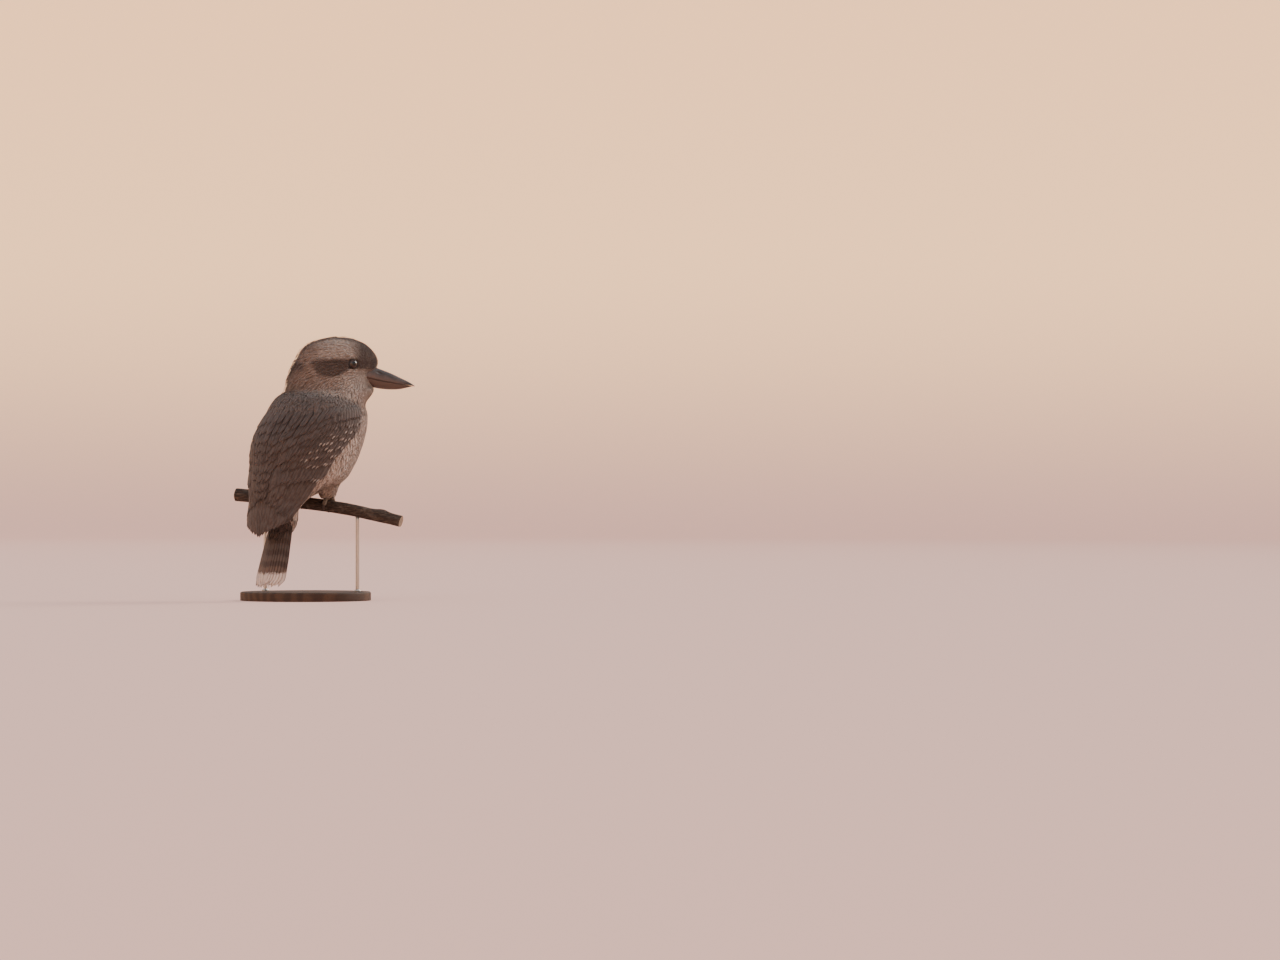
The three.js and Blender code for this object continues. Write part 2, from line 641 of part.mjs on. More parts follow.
function leg(side, trunkRoom) {
  const { x, y } = perchMiddle(footPlace(side));
  const bottom = branchTop(footPlace(side)) + SHANK.height + GAP;
  const rings = [0, 0.25, 0.6, 1].map((share) => {
    const radius = BOOT.bottom + (BOOT.top - BOOT.bottom) * share ** 0.8;
    const ring = [];
    for (let k = 0; k < BOOT.sides; k++) {
      const angle = (2 * Math.PI * k) / BOOT.sides;
      const z = bottom + (BOOT.height - bottom) * share;
      const out = radius * Math.cos(angle) - BOOT.back * share;
      ring.push(new THREE.Vector3(x + out, y + radius * Math.sin(angle), z));
    }
    return ring;
  });
  return kept(solid(skinned(rings)).subtract(trunkRoom).subtract(footSolid(side, GAP)));
}

// The stand, under the branch
function rod(along, branchRoom) {
  const { x, y, z } = perchMiddle(along);
  const foot = BASE.height + GAP - GRIP.z;
  const bar = new THREE.CylinderGeometry(ROD.radius, ROD.radius, z - foot, ROD.sides);
  bar.rotateX(Math.PI / 2).translate(x, y, (z + foot) / 2);
  return kept(solid(bar).subtract(branchRoom));
}

function base() {
  const { radius, height, chamfer, sides } = BASE;
  const profile = [
    [0, 0],
    [radius - chamfer / 2, 0],
    [radius, chamfer / 2],
    [radius, height - chamfer],
    [radius - chamfer, height],
    [0, height],
  ].map(([x, y]) => new THREE.Vector2(x, y));
  const turned = new THREE.LatheGeometry(profile, sides);
  return turned.rotateX(Math.PI / 2).translate(-GRIP.x, -GRIP.y, -GRIP.z);
}

const finish = (color, roughness, metalness = 0) =>
  new THREE.MeshStandardMaterial({ color, roughness, metalness });
const PALE_DOWN = finish("#cfc1ae", 0.9);
const BROWN_VANES = finish("#4a3830", 0.8);
const BARRED_VANES = finish("#6e4a34", 0.8);
const DARK_HORN = finish("#2c2624", 0.45);
const PALE_HORN = finish("#a98e74", 0.5);
const EYE_GLOSS = finish("#241a15", 0.08);
const SCALED_SKIN = finish("#6d6052", 0.7);
const BARK = finish("#5d4d42", 0.9);
const TURNED_WOOD = finish("#33261f", 0.5);
const STEEL = finish("#8d8a86", 0.35, 1);

const bird = new THREE.Group();
bird.position.copy(GRIP);
function add(name, geometry, material) {
  const mesh = new THREE.Mesh(geometry, material);
  mesh.name = name;
  bird.add(mesh);
}

const ROOM = GAP + 0.1; // how far what lies on the trunk stays off it
const bodyRoom = [STRETCHES.torso, STRETCHES.neck].flatMap((stretch) => trunkRings(stretch, ROOM));
const trunkRoom = solid(skinned([...bodyRoom, ...headRings(ROOM)]));
const branchRoom = solid(perch(GAP));
add("torso", kept(solid(skinned(trunkRings(STRETCHES.torso)))), PALE_DOWN);
add("neck", kept(solid(skinned(trunkRings(STRETCHES.neck)))), PALE_DOWN);
add("head", head(), PALE_DOWN);
const upper = mandible("ridge", MOUTH_GAP / 2, 0, 0.85).subtract(nostril(LEFT)).subtract(nostril(RIGHT));
add("bill_upper", kept(upper.subtract(trunkRoom)), DARK_HORN);
add("bill_lower", kept(mandible("keel", -MOUTH_GAP / 2, LOWER_SHORTER, 0.8).subtract(trunkRoom)), PALE_HORN);
add("tail", tail(trunkRoom), BARRED_VANES);
for (const [name, side] of [["left", LEFT], ["right", RIGHT]]) {
  add("eye_" + name, eyeball(side, EYE.radius), EYE_GLOSS);
  add("wing_" + name, wing(side, trunkRoom), BROWN_VANES);
  add("leg_" + name, leg(side, trunkRoom), PALE_DOWN);
  add("foot_" + name, kept(footSolid(side).subtract(trunkRoom)), SCALED_SKIN);
}
add("perch", kept(solid(perch())), BARK);
add("stand_base", base(), TURNED_WOOD);
ROD.places.forEach((along, i) => add("stand_rod_" + (i + 1), rod(along, branchRoom), STEEL));

export default bird;
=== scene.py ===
"""A laughing kookaburra, life size and still, on a cut length of branch held over a round base by two rods.

Lengths are millimetres and start at the grip, the point on top of the branch between the feet. The bird
faces +X, its left is +Y, and its head is turned to its right. Points become metres when a mesh is made.
"""
import math

import bpy
import numpy as np
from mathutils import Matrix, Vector
from mathutils.bvhtree import BVHTree


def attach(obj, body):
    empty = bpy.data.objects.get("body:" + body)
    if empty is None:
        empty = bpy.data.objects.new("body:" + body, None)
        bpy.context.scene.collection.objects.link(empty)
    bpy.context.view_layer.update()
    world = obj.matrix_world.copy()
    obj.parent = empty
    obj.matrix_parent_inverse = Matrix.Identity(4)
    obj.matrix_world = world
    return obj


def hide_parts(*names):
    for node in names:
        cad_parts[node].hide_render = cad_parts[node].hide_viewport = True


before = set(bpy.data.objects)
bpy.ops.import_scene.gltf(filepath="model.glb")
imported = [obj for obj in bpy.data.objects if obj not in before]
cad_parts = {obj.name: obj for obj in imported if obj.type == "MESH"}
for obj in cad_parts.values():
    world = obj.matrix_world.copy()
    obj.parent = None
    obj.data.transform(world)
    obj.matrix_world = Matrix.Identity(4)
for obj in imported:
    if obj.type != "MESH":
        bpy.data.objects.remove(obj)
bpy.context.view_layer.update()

MM = 0.001
GRIP = np.array([16.0, 0.0, 138.0])
LEFT, RIGHT = 1, -1
SIDES = {"left": LEFT, "right": RIGHT}
UP = np.array([0.0, 0.0, 1.0])
RNG = np.random.default_rng(41)


# Small sums on arrays


def unit(vectors):
    return vectors / np.maximum(np.linalg.norm(vectors, axis=-1, keepdims=True), 1e-9)


def towards(bearing):
    """The level direction at a bearing in degrees, from +X round to +Y."""
    return np.array([math.cos(math.radians(bearing)), math.sin(math.radians(bearing)), 0.0])


def dot(a, b):
    return np.sum(a * b, axis=-1, keepdims=True)


def flat_on(vectors, normals):
    """The part of each vector that lies in the plane its normal stands on."""
    return vectors - normals * dot(vectors, normals)


def ease(low, high, value):
    """0 below low, 1 above high and smooth between them."""
    t = np.clip((value - low) / (high - low), 0, 1)
    return t * t * (3 - 2 * t)


def mix(a, b, share):
    return a + (b - a) * share


def through(stations, at):
    """Values that run smoothly through a list of stations, at some distances along it."""
    rows = np.asarray(stations, float)
    last = len(rows) - 1
    t = np.clip(at, 0, last)
    i = np.minimum(t.astype(int), last - 1)
    a, b, c, d = (rows[np.clip(i + k, 0, last)] for k in (-1, 0, 1, 2))
    u = (t - i)[..., None]
    bend = 2 * a - 5 * b + 4 * c - d + u * (3 * (b - c) + d - a)
    return b + 0.5 * u * (c - a + u * bend)


# The trunk, from the tail's root over body and neck to the crown. A row of BODY is x, y, z, pitch, yaw, half
# depth, half width and egg, which widens the section behind its middle. A row of SKULL is forward, up, half
# depth, half width and egg in the head's frame.
HEAD = np.array([38.0, -6.0, 178.0])
HEAD_BEARING = -40.0
BODY = [
    (-63.5, 0, -17, 14.7, 0, 19.6, 24, 0),
    (-61, 0, 2, 8.5, 0, 32, 37, 0),
    (-47, 0, 17.5, 7.5, 0, 51, 49, 0),
    (-29, 0, 32, 8.5, 0, 66, 57.5, 0),
    (-17.5, 0, 51, 7, 0, 72, 62.5, 0),
    (-9, 0, 73, 4, 0, 76.5, 66, 0),
    (-0.5, 0, 95, 2.5, 0, 76, 67, 0),
    (6, 0, 114, 2, 0, 71, 65.5, 0),
    (12, 0, 131, 3, -8, 63, 58, 0.02),
]
SKULL = [
    (-9, -34, 60, 51.5, 0.04),
    (-8.5, -25, 59.5, 47, 0.08),
    (-7.5, -13, 57.5, 42.5, 0.14),
    (-2.5, 0, 57.5, 39.5, 0.17),
    (0.5, 11, 54.5, 37.5, 0.17),
    (0, 21.5, 48.5, 33.5, 0.14),
    (0.5, 30.5, 37.5, 26.5, 0.1),
    (1.5, 36.8, 21, 15.5, 0.05),
]
CROWN = (2, 0, 40)
HEAD_AHEAD = towards(HEAD_BEARING)
HEAD_LEFT = np.array([-HEAD_AHEAD[1], HEAD_AHEAD[0], 0.0])


def head_point(forward, aside, up):
    """A point given in the head's own frame."""
    forward, aside, up = (np.asarray(k, float)[..., None] for k in (forward, aside, up))
    return HEAD + forward * HEAD_AHEAD + aside * HEAD_LEFT + up * UP


def skull_section(forward, up, depth, width, egg):
    """A row of SKULL as a row of BODY."""
    x, y, z = head_point(forward, 0, up)
    return (x, y, z, 0, HEAD_BEARING, depth, width, egg)


TRUNK = BODY + [skull_section(*row) for row in SKULL]


def trunk_point(at, angle, swell):
    """A point of the trunk. Angle 0 is the body's back and a quarter turn its left, on the head too."""
    x, y, z, pitch, yaw, depth, width, egg = np.moveaxis(through(TRUNK, at), -1, 0)
    pitch, yaw = np.radians(pitch), np.radians(yaw)
    ahead = -(depth + swell) * np.cos(angle + yaw)
    aside = (width + swell) * np.sin(angle + yaw) * (1 + egg * np.cos(angle + yaw))
    flat = ahead * np.cos(pitch)
    turned = (flat * np.cos(yaw) - aside * np.sin(yaw), flat * np.sin(yaw) + aside * np.cos(yaw))
    return np.stack([x + turned[0], y + turned[1], z - ahead * np.sin(pitch)], -1)


# Shader maths as expressions


class Value:
    """A socket that stands in an expression."""

    def __init__(self, finish, socket):
        self.finish, self.socket = finish, socket

    def sum_with(self, operation, *others):
        inputs = dict(enumerate((self, *others)))
        return self.finish.node("Math", {"operation": operation}, inputs)

    def reversed_sum(self, operation, other):
        return self.finish.node("Math", {"operation": operation}, {0: other, 1: self})

    def __add__(self, other):
        return self.sum_with("ADD", other)

    def __sub__(self, other):
        return self.sum_with("SUBTRACT", other)

    def __mul__(self, other):
        return self.sum_with("MULTIPLY", other)

    def __radd__(self, other):
        return self.reversed_sum("ADD", other)

    def __rsub__(self, other):
        return self.reversed_sum("SUBTRACT", other)

    def __rmul__(self, other):
        return self.reversed_sum("MULTIPLY", other)

    def __abs__(self):
        return self.sum_with("ABSOLUTE")

    def sine(self):
        return self.sum_with("SINE")

    def highest(self, other):
        return self.sum_with("MAXIMUM", other)

    def above(self, low, high):
        """0 where the value is under low, 1 over high and smooth between."""
        settings = {"interpolation_type": "SMOOTHSTEP"}
        ends = {"From Min": low, "From Max": high}
        return self.finish.node("MapRange", settings, {"Value": self, **ends})

    def between(self, low, high, soft):
        """1 from low to high, with soft ends."""
        return self.above(low - soft, low + soft) * (1 - self.above(high - soft, high + soft))

    def along(self, direction):
        """How far a vector reaches along a direction."""
        inputs = {0: self, 1: tuple(direction)}
        return self.finish.node("VectorMath", {"operation": "DOT_PRODUCT"}, inputs, "Value")


class Finish:
    """A material as it is painted."""

    def __init__(self, name, **constants):
        self.material = bpy.data.materials.new(name)
        self.material.use_nodes = True
        self.tree = self.material.node_tree
        self.shader = self.tree.nodes["Principled BSDF"]
        for socket, value in constants.items():
            self.shader.inputs[socket.replace("_", " ")].default_value = value

    def feed(self, socket, value):
        if isinstance(value, Value):
            self.tree.links.new(value.socket, socket)
        else:
            socket.default_value = value

    def node(self, kind, settings, inputs, output=0):
        """A node of any kind: its settings first, then its sockets. Gives one of its outputs."""
        made = self.tree.nodes.new("ShaderNode" + kind)
        for name, setting in settings.items():
            setattr(made, name, setting)
        for name, value in inputs.items():
            self.feed(made.inputs[name], value)
        return Value(self, made.outputs[output])

    def number(self, name):
        return self.node("Attribute", {"attribute_name": name}, {}, "Fac")

    def vector(self, name):
        return self.node("Attribute", {"attribute_name": name}, {}, "Vector")

    def noise(self, vector, scale, detail=2.0, roughness=0.5):
        inputs = {"Vector": vector, "Scale": scale, "Detail": detail, "Roughness": roughness}
        return self.node("TexNoise", {}, inputs)

    def cell_edges(self, vector, scale):
        """How far a place is from the edge of its cell."""
        settings = {"feature": "DISTANCE_TO_EDGE"}
        return self.node("TexVoronoi", settings, {"Vector": vector, "Scale": scale})

    def blend(self, first, second, share):
        """The first colour where share is 0 and the second where it is 1."""
        inputs = {0: share, 6: first, 7: second}
        return self.node("Mix", {"data_type": "RGBA"}, inputs, 2)

    def combined(self, x, y, z):
        return self.node("CombineXYZ", {}, {0: x, 1: y, 2: z})

    def paint(self, colour, roughness=None, height=None):
        """Colour, roughness, and a relief whose height is in millimetres."""
        self.feed(self.shader.inputs["Base Color"], colour)
        if roughness is not None:
            self.feed(self.shader.inputs["Roughness"], roughness)
        if height is not None:
            inputs = {"Height": height, "Strength": 1.0, "Distance": MM}
            self.feed(self.shader.inputs["Normal"], self.node("Bump", {}, inputs))
        return self.material


SCREEN_GAMMA = 2.2


def shade(red, green, blue):
    """A colour from the 0 to 255 that a maker mixes."""
    return tuple((k / 255) ** SCREEN_GAMMA for k in (red, green, blue)) + (1.0,)


WHITE_DOWN = shade(167, 153, 143)
TIP_WHITE = shade(214, 196, 186)
EDGE_DOWN = shade(206, 192, 176)
CREAM_DOWN = shade(140, 123, 113)
GREY_DOWN = shade(129, 113, 105)
DUSKY_DOWN = shade(122, 105, 96)
STREAK_BROWN = shade(110, 93, 84)
DARK_BROWN = shade(69, 58, 54)
MANTLE_BROWN = shade(83, 75, 72)
WARM_BROWN = shade(99, 84, 76)
RUFOUS = shade(107, 87, 77)
PALE_BLUE = shade(158, 150, 144)
BLACK_BROWN = shade(44, 37, 34)

# Where markings lie: heights, degrees round the trunk from the back, and lengths along a tail feather
COLLAR = {"height": 150, "rise": 0.11, "fall": 0.06, "dip": 34, "dip_from": 40, "dip_to": 110}
MANTLE_EDGE = 112
BAR_PERIOD = 16.0
TAIL_WHITE = 17.0


def trunk_middle(z):
    """How far forward the trunk's own middle lies at a height."""
    return z * 0.72 - z * z * 0.0019 - 51


def collar_height(turn, dip):
    """How high the back's brown reaches round the trunk. dip goes from 0 to 1 round the left side."""
    return COLLAR["height"] + turn * COLLAR["rise"] - abs(turn) * COLLAR["fall"] - dip * COLLAR["dip"]


def head_markings(finish, place):
    """The head's colour, from masks for crown, forehead, nape, mask, lores and gape.

    Ranges are millimetres ahead of, beside and above the head's middle, and noise makes their edges ragged.
    """
    ahead = place.along(HEAD_AHEAD) - float(HEAD @ HEAD_AHEAD)
    aside = abs(place.along(HEAD_LEFT) - float(HEAD @ HEAD_LEFT))
    up = place.along(UP) - float(HEAD[2])
    ragged = (finish.noise(place, 0.22, 3.0) - 0.5) * 9
    streak = finish.noise(finish.combined(ahead * 0.05, aside * 0.5, up * 0.5), 1.0, 3.0)
    crown = (1 - (aside + ragged * 0.8).above(12, 21)) * up.above(14, 22) * ahead.above(-54, -36)
    front = ahead - up * 0.1 + ragged * 0.6
    forehead = (front + (streak - 0.5) * 14).above(14, 32) * up.above(-3, 2)
    nape = (1 - (ahead - up * 0.3).above(-42, -14)) * up.above(-2, 9)
    lower_edge = ahead.above(0, 20) * 9 - ahead.above(-36, -20) * 14 + 1
    mask = (up - lower_edge + ragged * 0.6).above(-2.5, 2.5) * (1 - (up + ragged * 0.6).above(6, 13))
    mask = mask * (ahead + ragged * 0.8).above(-38, -25) * aside.above(6, 12)
    nape_streak = (ahead + ragged * 0.6).between(-70, -42, 4) * (up + ragged * 0.4).between(-4, 9, 3)
    lores = (up + ahead * 0.02).between(-6.4, -3.2, 0.9) * ahead.above(22, 32)
    gape = (up + ahead * 0.05 + ragged * 0.1).between(-9, -6.8, 0.9) * ahead.between(10, 42, 4)
    cheek = finish.blend(CREAM_DOWN, WHITE_DOWN, ahead.above(-12, 26))
    cheek = finish.blend(cheek, DUSKY_DOWN, (1 - ahead.above(-44, 0)) * 0.7)
    cheek = finish.blend(cheek, DUSKY_DOWN, finish.noise(place, 0.09, 2.0).above(0.5, 0.7) * 0.4)
    brow = finish.blend(WHITE_DOWN, STREAK_BROWN, streak.above(0.5, 0.68) * 0.55)
    brow = finish.blend(brow, finish.blend(DUSKY_DOWN, STREAK_BROWN, streak.above(0.4, 0.6)), nape * 0.85)
    colour = finish.blend(cheek, brow, up.above(7, 12))
    top = finish.blend(DARK_BROWN, WARM_BROWN, streak.above(0.4, 0.65))
    top = finish.blend(top, RUFOUS, ahead.above(40, 54) * 0.7)
    colour = finish.blend(colour, top, (crown * (0.55 + streak.above(0.3, 0.6) * 0.45)).highest(forehead))
    colour = finish.blend(colour, finish.blend(DARK_BROWN, WARM_BROWN, streak.above(0.4, 0.7) * 0.5), mask)
    colour = finish.blend(colour, DARK_BROWN, nape_streak * 0.85)
    colour = finish.blend(colour, CREAM_DOWN, lores * 0.75)
    return finish.blend(colour, MANTLE_BROWN, gape * 0.4)


def body_markings(finish, place):
    """The body's colour from mantle, rump, breast and flanks, and with it the height above the grip.

    Ranges are heights, and degrees round the trunk from the back.
    """
    x, y, z = (place.along(axis) for axis in np.eye(3))
    turn = finish.node("Math", {"operation": "ARCTAN2"}, {0: y, 1: trunk_middle(z) - x}) * (180 / math.pi)
    ragged = (finish.noise(place, 0.16, 3.0) - 0.5) * 10
    collar = collar_height(turn, turn.above(COLLAR["dip_from"], COLLAR["dip_to"]))
    foot = 70 + abs(turn).above(30, 80) * 18
    mantle = (1 - (z - collar + ragged * 0.5).above(-2.5, 2.5)) * (z - foot).above(0, 10)
    mantle = mantle * (1 - (abs(turn) + ragged * 0.5).above(MANTLE_EDGE - 6, MANTLE_EDGE + 5))
    rump = (1 - z.above(64, 76)) * (1 - (abs(turn) + ragged * 0.5).above(46, 58)) * z.above(-20, -10)
    bars = finish.noise(finish.combined(x * 0.08, y * 0.08, z * 0.9), 1.0, 2.0)
    flank = abs(turn).between(60, 150, 14) * bars.above(0.5, 0.66)
    pale = finish.blend(WHITE_DOWN, CREAM_DOWN, z.above(100, 145) * 0.7)
    pale = finish.blend(pale, DUSKY_DOWN, finish.noise(place, 0.07, 2.0).above(0.5, 0.7) * 0.3)
    pale = finish.blend(pale, DUSKY_DOWN, flank * 0.4)
    colour = finish.blend(pale, MANTLE_BROWN, mantle)
    return finish.blend(colour, MANTLE_BROWN, rump), z


def plumage(name):
    """Feathers of head and body, coloured by where each is rooted."""
    finish = Finish(name, Roughness=0.85, Specular_IOR_Level=0.25, Sheen_Weight=0.2, Sheen_Roughness=0.5)
    place = finish.vector("place")
    along, across = finish.number("along"), finish.number("across")
    tone = finish.number("tone")
    on_head = head_markings(finish, place)
    on_body, z = body_markings(finish, place)
    colour = finish.blend(on_body, on_head, (z + (tone - 0.5) * 6).above(139, 151))
    shaft = 1 - abs(across).above(0.02, 0.2)
    edge = abs(across).above(0.5, 0.95) * along.above(0.5, 0.9)
    colour = finish.blend(colour, STREAK_BROWN, shaft * along.above(0.1, 0.5) * 0.16)
    colour = finish.blend(colour, GREY_DOWN, (1 - along.above(0.1, 0.5)) * 0.2)
    colour = finish.blend(colour, EDGE_DOWN, edge * 0.12)
    barbs = (along * 60 - abs(across) * 9 + tone * 20).sine()
    # Darker where tone is low: at random from feather to feather, and on the skin painted shade, strongest
    # at the bill's root
    colour = finish.blend(colour, BLACK_BROWN, (1 - tone) * 0.13)
    colour = finish.blend(colour, BLACK_BROWN, barbs.above(0.2, 1.0) * 0.06)
    return finish.paint(colour, height=barbs * 0.05 + shaft * 0.1)


def flight_plumage(name, barred=False):
    """Vanes of wing or tail: brown with a pale drop near the tip where a feather has a spot, or barred."""
    finish = Finish(name, Roughness=0.7, Specular_IOR_Level=0.2, Sheen_Weight=0.04)
    along, across = finish.number("along"), finish.number("across")
    tone, length, spot = finish.number("tone"), finish.number("length"), finish.number("spot")
    reach = along * length
    wobble = finish.noise(finish.combined(reach * 0.3, across * 3, tone * 31), 1.0, 2.0) - 0.5
    mottle = finish.noise(finish.combined(across * 2 + tone * 7, reach * 0.12, tone * 9), 1.0, 3.0)
    barbs = (reach * 5.5 - abs(across) * 16 + mottle * 3).sine()
    shaft = 1 - abs(across).above(0.03, 0.1)
    if barred:
        ground = finish.blend(RUFOUS, WARM_BROWN, mottle.above(0.3, 0.6))
        ground = finish.blend(ground, MANTLE_BROWN, 1 - reach.above(45, 78))
        wave = ((reach + abs(across) * 2 + wobble * 6 + tone * 2) * (2 * math.pi / BAR_PERIOD)).sine()
        colour = finish.blend(ground, DARK_BROWN, wave.above(-0.7, 0.7) * 0.8)
        tip = (reach + wobble * 9 - length + abs(across) * 1.5).above(-TAIL_WHITE - 3, -TAIL_WHITE + 3)
        colour = finish.blend(colour, TIP_WHITE, tip * 0.95)
    else:
        ground = finish.blend(MANTLE_BROWN, DARK_BROWN, mottle.above(0.35, 0.7))
        fringe = (abs(across) + along * 0.25).above(0.9, 1.2) * along.above(0.3, 0.6)
        colour = finish.blend(ground, STREAK_BROWN, fringe * 0.3)
        down = (reach - length + 3.6 + wobble * 2) * 0.33
        wide = (across + 0.42 + wobble * 0.3) * 2.0
        drop = 1 - (down * down + wide * wide).above(0.55, 1.25)
        colour = finish.blend(colour, PALE_BLUE, drop * spot)
    colour = finish.blend(colour, BLACK_BROWN, shaft * 0.45)
    colour = finish.blend(colour, BLACK_BROWN, (1 - tone) * 0.2)
    colour = finish.blend(colour, BLACK_BROWN, barbs.above(0.1, 1.0) * 0.1)
    return finish.paint(colour, height=barbs * 0.05 + shaft * 0.25)


# Meshes


def mesh_piece(name, points, faces, material, replaces=(), numbers=None, places=None, patches=None):
    """A piece from points in millimetres and arrays of faces, riding on the one body.

    Each point keeps the place it is painted by: its own, or its feather's root where places are given.
    """
    mesh = bpy.data.meshes.new(name)
    places = points if places is None else places
    points = (np.asarray(points, float).reshape(-1, 3) + GRIP) * MM
    faces = [np.asarray(group, int) for group in faces if len(group)]
    sizes = np.concatenate([np.full(len(group), group.shape[1]) for group in faces])
    corners = np.concatenate([group.ravel() for group in faces])
    starts = np.concatenate([[0], np.cumsum(sizes)[:-1]])
    mesh.vertices.add(len(points))
    mesh.vertices.foreach_set("co", points.ravel())
    mesh.loops.add(len(corners))
    mesh.loops.foreach_set("vertex_index", corners)
    mesh.polygons.add(len(sizes))
    mesh.polygons.foreach_set("loop_start", starts)
    mesh.polygons.foreach_set("use_smooth", np.ones(len(sizes), bool))
    for key, values in (numbers or {}).items():
        kept = mesh.attributes.new(key, "FLOAT", "POINT")
        kept.data.foreach_set("value", np.asarray(values, np.float32).ravel())
    kept = mesh.attributes.new("place", "FLOAT_VECTOR", "POINT")
    kept.data.foreach_set("vector", np.asarray(places, np.float32).ravel())
    if patches is not None:
        uv = mesh.uv_layers.new(name="OFBake")
        uv.data.foreach_set("uv", np.asarray(patches, np.float32)[corners].ravel())
    mesh.validate()
    mesh.update()
    mesh.materials.append(material)
    made = bpy.data.objects.new(name, mesh)
    bpy.context.scene.collection.objects.link(made)
    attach(made, "root")
    if replaces:
        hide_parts(*replaces)


def plain_numbers(points, tone=0.5):
    """The numbers that plumage is painted by, for a surface that has no feathers of its own."""
    half = np.full(len(points), 0.5)
    return {"along": half, "across": half, "tone": tone * np.ones(len(points))}


def tube_faces(rings, around):
    """Quads between rings of points, one after another."""
    r, k = np.meshgrid(np.arange(rings - 1), np.arange(around), indexing="ij")
    a = r * around + k
    b = r * around + (k + 1) % around
    return np.stack([a, b, b + around, a + around], -1).reshape(-1, 4)


def lofted(rings):
    """Points and faces of a closed tube with its ends filled by fans."""
    count, around = rings.shape[:2]
    ends = [rings[0].mean(0), rings[-1].mean(0)]
    points = np.concatenate([rings.reshape(-1, 3), ends])
    k = np.arange(around)
    after = (k + 1) % around
    last = (count - 1) * around
    start = np.stack([after, k, np.full(around, count * around)], -1)
    end = np.stack([last + k, last + after, np.full(around, count * around + 1)], -1)
    return points, [tube_faces(count, around), np.concatenate([start, end])]


def gathered(parts):
    """Several closed tubes as one mesh."""
    points, quads, tris, count = [], [], [], 0
    for rings in parts:
        found, (four, three) = lofted(rings)
        points.append(found)
        quads.append(four + count)
        tris.append(three + count)
        count += len(found)
    return np.concatenate(points), [np.concatenate(quads), np.concatenate(tris)]


# The size of a feather on the flat map, and the heights between which a place counts as body there
PATCH = 0.003
MAPPED = {"bottom": -140, "top": 150}


def unwrap(place):
    """Where a place of the skin lies on a flat map of it: round the body, and up it or over the head."""
    x, y, z = np.moveaxis(place, -1, 0)
    middles = np.array(TRUNK)[:, :3]
    middle = through(middles, np.interp(z, middles[:, 2], np.arange(len(TRUNK))))
    turn = np.arctan2(y - middle[..., 1], x - middle[..., 0]) / (2 * math.pi) + 0.5
    level = np.hypot(*np.moveaxis((place - HEAD)[..., :2], -1, 0))
    tilt = np.arctan2(z - HEAD[2], level) / math.pi + 0.5
    over_head = 0.66 + 0.33 * np.clip((tilt - 0.3) / 0.7, 0, 1)
    up_body = 0.01 + 0.64 * np.clip((z - MAPPED["bottom"]) / (MAPPED["top"] - MAPPED["bottom"]), 0, 1)
    return np.stack([0.005 + 0.985 * turn, np.where(z > MAPPED["top"], over_head, up_body)], -1)


def vane_faces(count, rings, columns):
    """Faces of closed vanes: each ring runs over the top and back below."""
    around = 2 * columns - 2
    size = rings * around
    stretch = tube_faces(rings, around)[:, ::-1]
    j = np.arange(1, columns - 2)
    last = (rings - 1) * around
    caps, ends = [], []
    for start, turned in ((0, False), (last, True)):
        quads = np.stack([start + j, start + j + 1, start + around - j - 1, start + around - j], -1)
        first = [start, start + 1, start + around - 1]
        tris = np.array([first, [start + columns - 2, start + columns - 1, start + columns]])
        caps.append(quads[:, ::-1] if turned else quads)
        ends.append(tris[:, ::-1] if turned else tris)
    offsets = (np.arange(count) * size)[:, None, None]
    quads = np.concatenate([stretch, *caps]) if columns > 3 else stretch
    tris = np.concatenate(ends)
    return [(quads[None] + offsets).reshape(-1, 4), (tris[None] + offsets).reshape(-1, 3)]


EDGE_THIN = 0.08


class Vanes:
    """Feathers gathered for one piece. Each is a grid of points over its top, closed below."""

    def __init__(self):
        self.points, self.faces, self.count = [], [], 0
        self.numbers = {"along": [], "across": [], "tone": [], "length": [], "spot": []}
        self.places, self.patches = [], []

    def add(self, top, ups, places, across, along, thick, length, spot=0.0):
        """Feathers from the grids of their tops. Each is thickest at its shaft and thin at both edges."""
        count, rings, columns = top.shape[:3]
        around = 2 * columns - 2
        share = np.broadcast_to(1 - across**2, top.shape[:3]) * (1 - EDGE_THIN) + EDGE_THIN
        below = top - ups * (np.asarray(thick).reshape(-1, 1, 1, 1) * share[..., None])
        back = slice(columns - 2, 0, -1)
        self.points.append(np.concatenate([top, below[:, :, back]], 2).reshape(-1, 3))
        for group in vane_faces(count, rings, columns):
            self.faces.append(group + self.count)
        self.count += count * rings * around
        size = (count, rings, around)
        tones = RNG.uniform(0, 1, (count, 1, 1))

        def looped(grid):
            wide = np.broadcast_to(grid, top.shape[:3])
            return np.concatenate([wide, wide[:, :, back]], 2)

        def per_feather(value):
            return np.broadcast_to(np.asarray(value, float).reshape(-1, 1, 1), size)

        rows = {"along": looped(along), "across": looped(across), "tone": np.broadcast_to(tones, size)}
        rows |= {"length": per_feather(length), "spot": per_feather(spot)}
        for key, values in rows.items():
            self.numbers[key].append(values.ravel())
        self.places.append(np.broadcast_to(places[:, None, None], (*size, 3)).reshape(-1, 3))
        root = unwrap(places)[:, None, None]
        inside = np.stack([looped(across) * 0.5, looped(along)], -1) * PATCH
        self.patches.append((root + inside).reshape(-1, 2))

    def piece(self, name, material, slot, replaces=()):
        """Makes one piece of all the feathers gathered so far."""
        numbers = {key: np.concatenate(values) for key, values in self.numbers.items()}
        quads = np.concatenate([group for group in self.faces if group.shape[1] == 4])
        tris = np.concatenate([group for group in self.faces if group.shape[1] == 3])
        mesh_piece(
            name,
            np.concatenate(self.points),
            [quads, tris],
            material,
            replaces,
            numbers=numbers,
            places=np.concatenate(self.places),
            patches=np.concatenate(self.patches),
        )


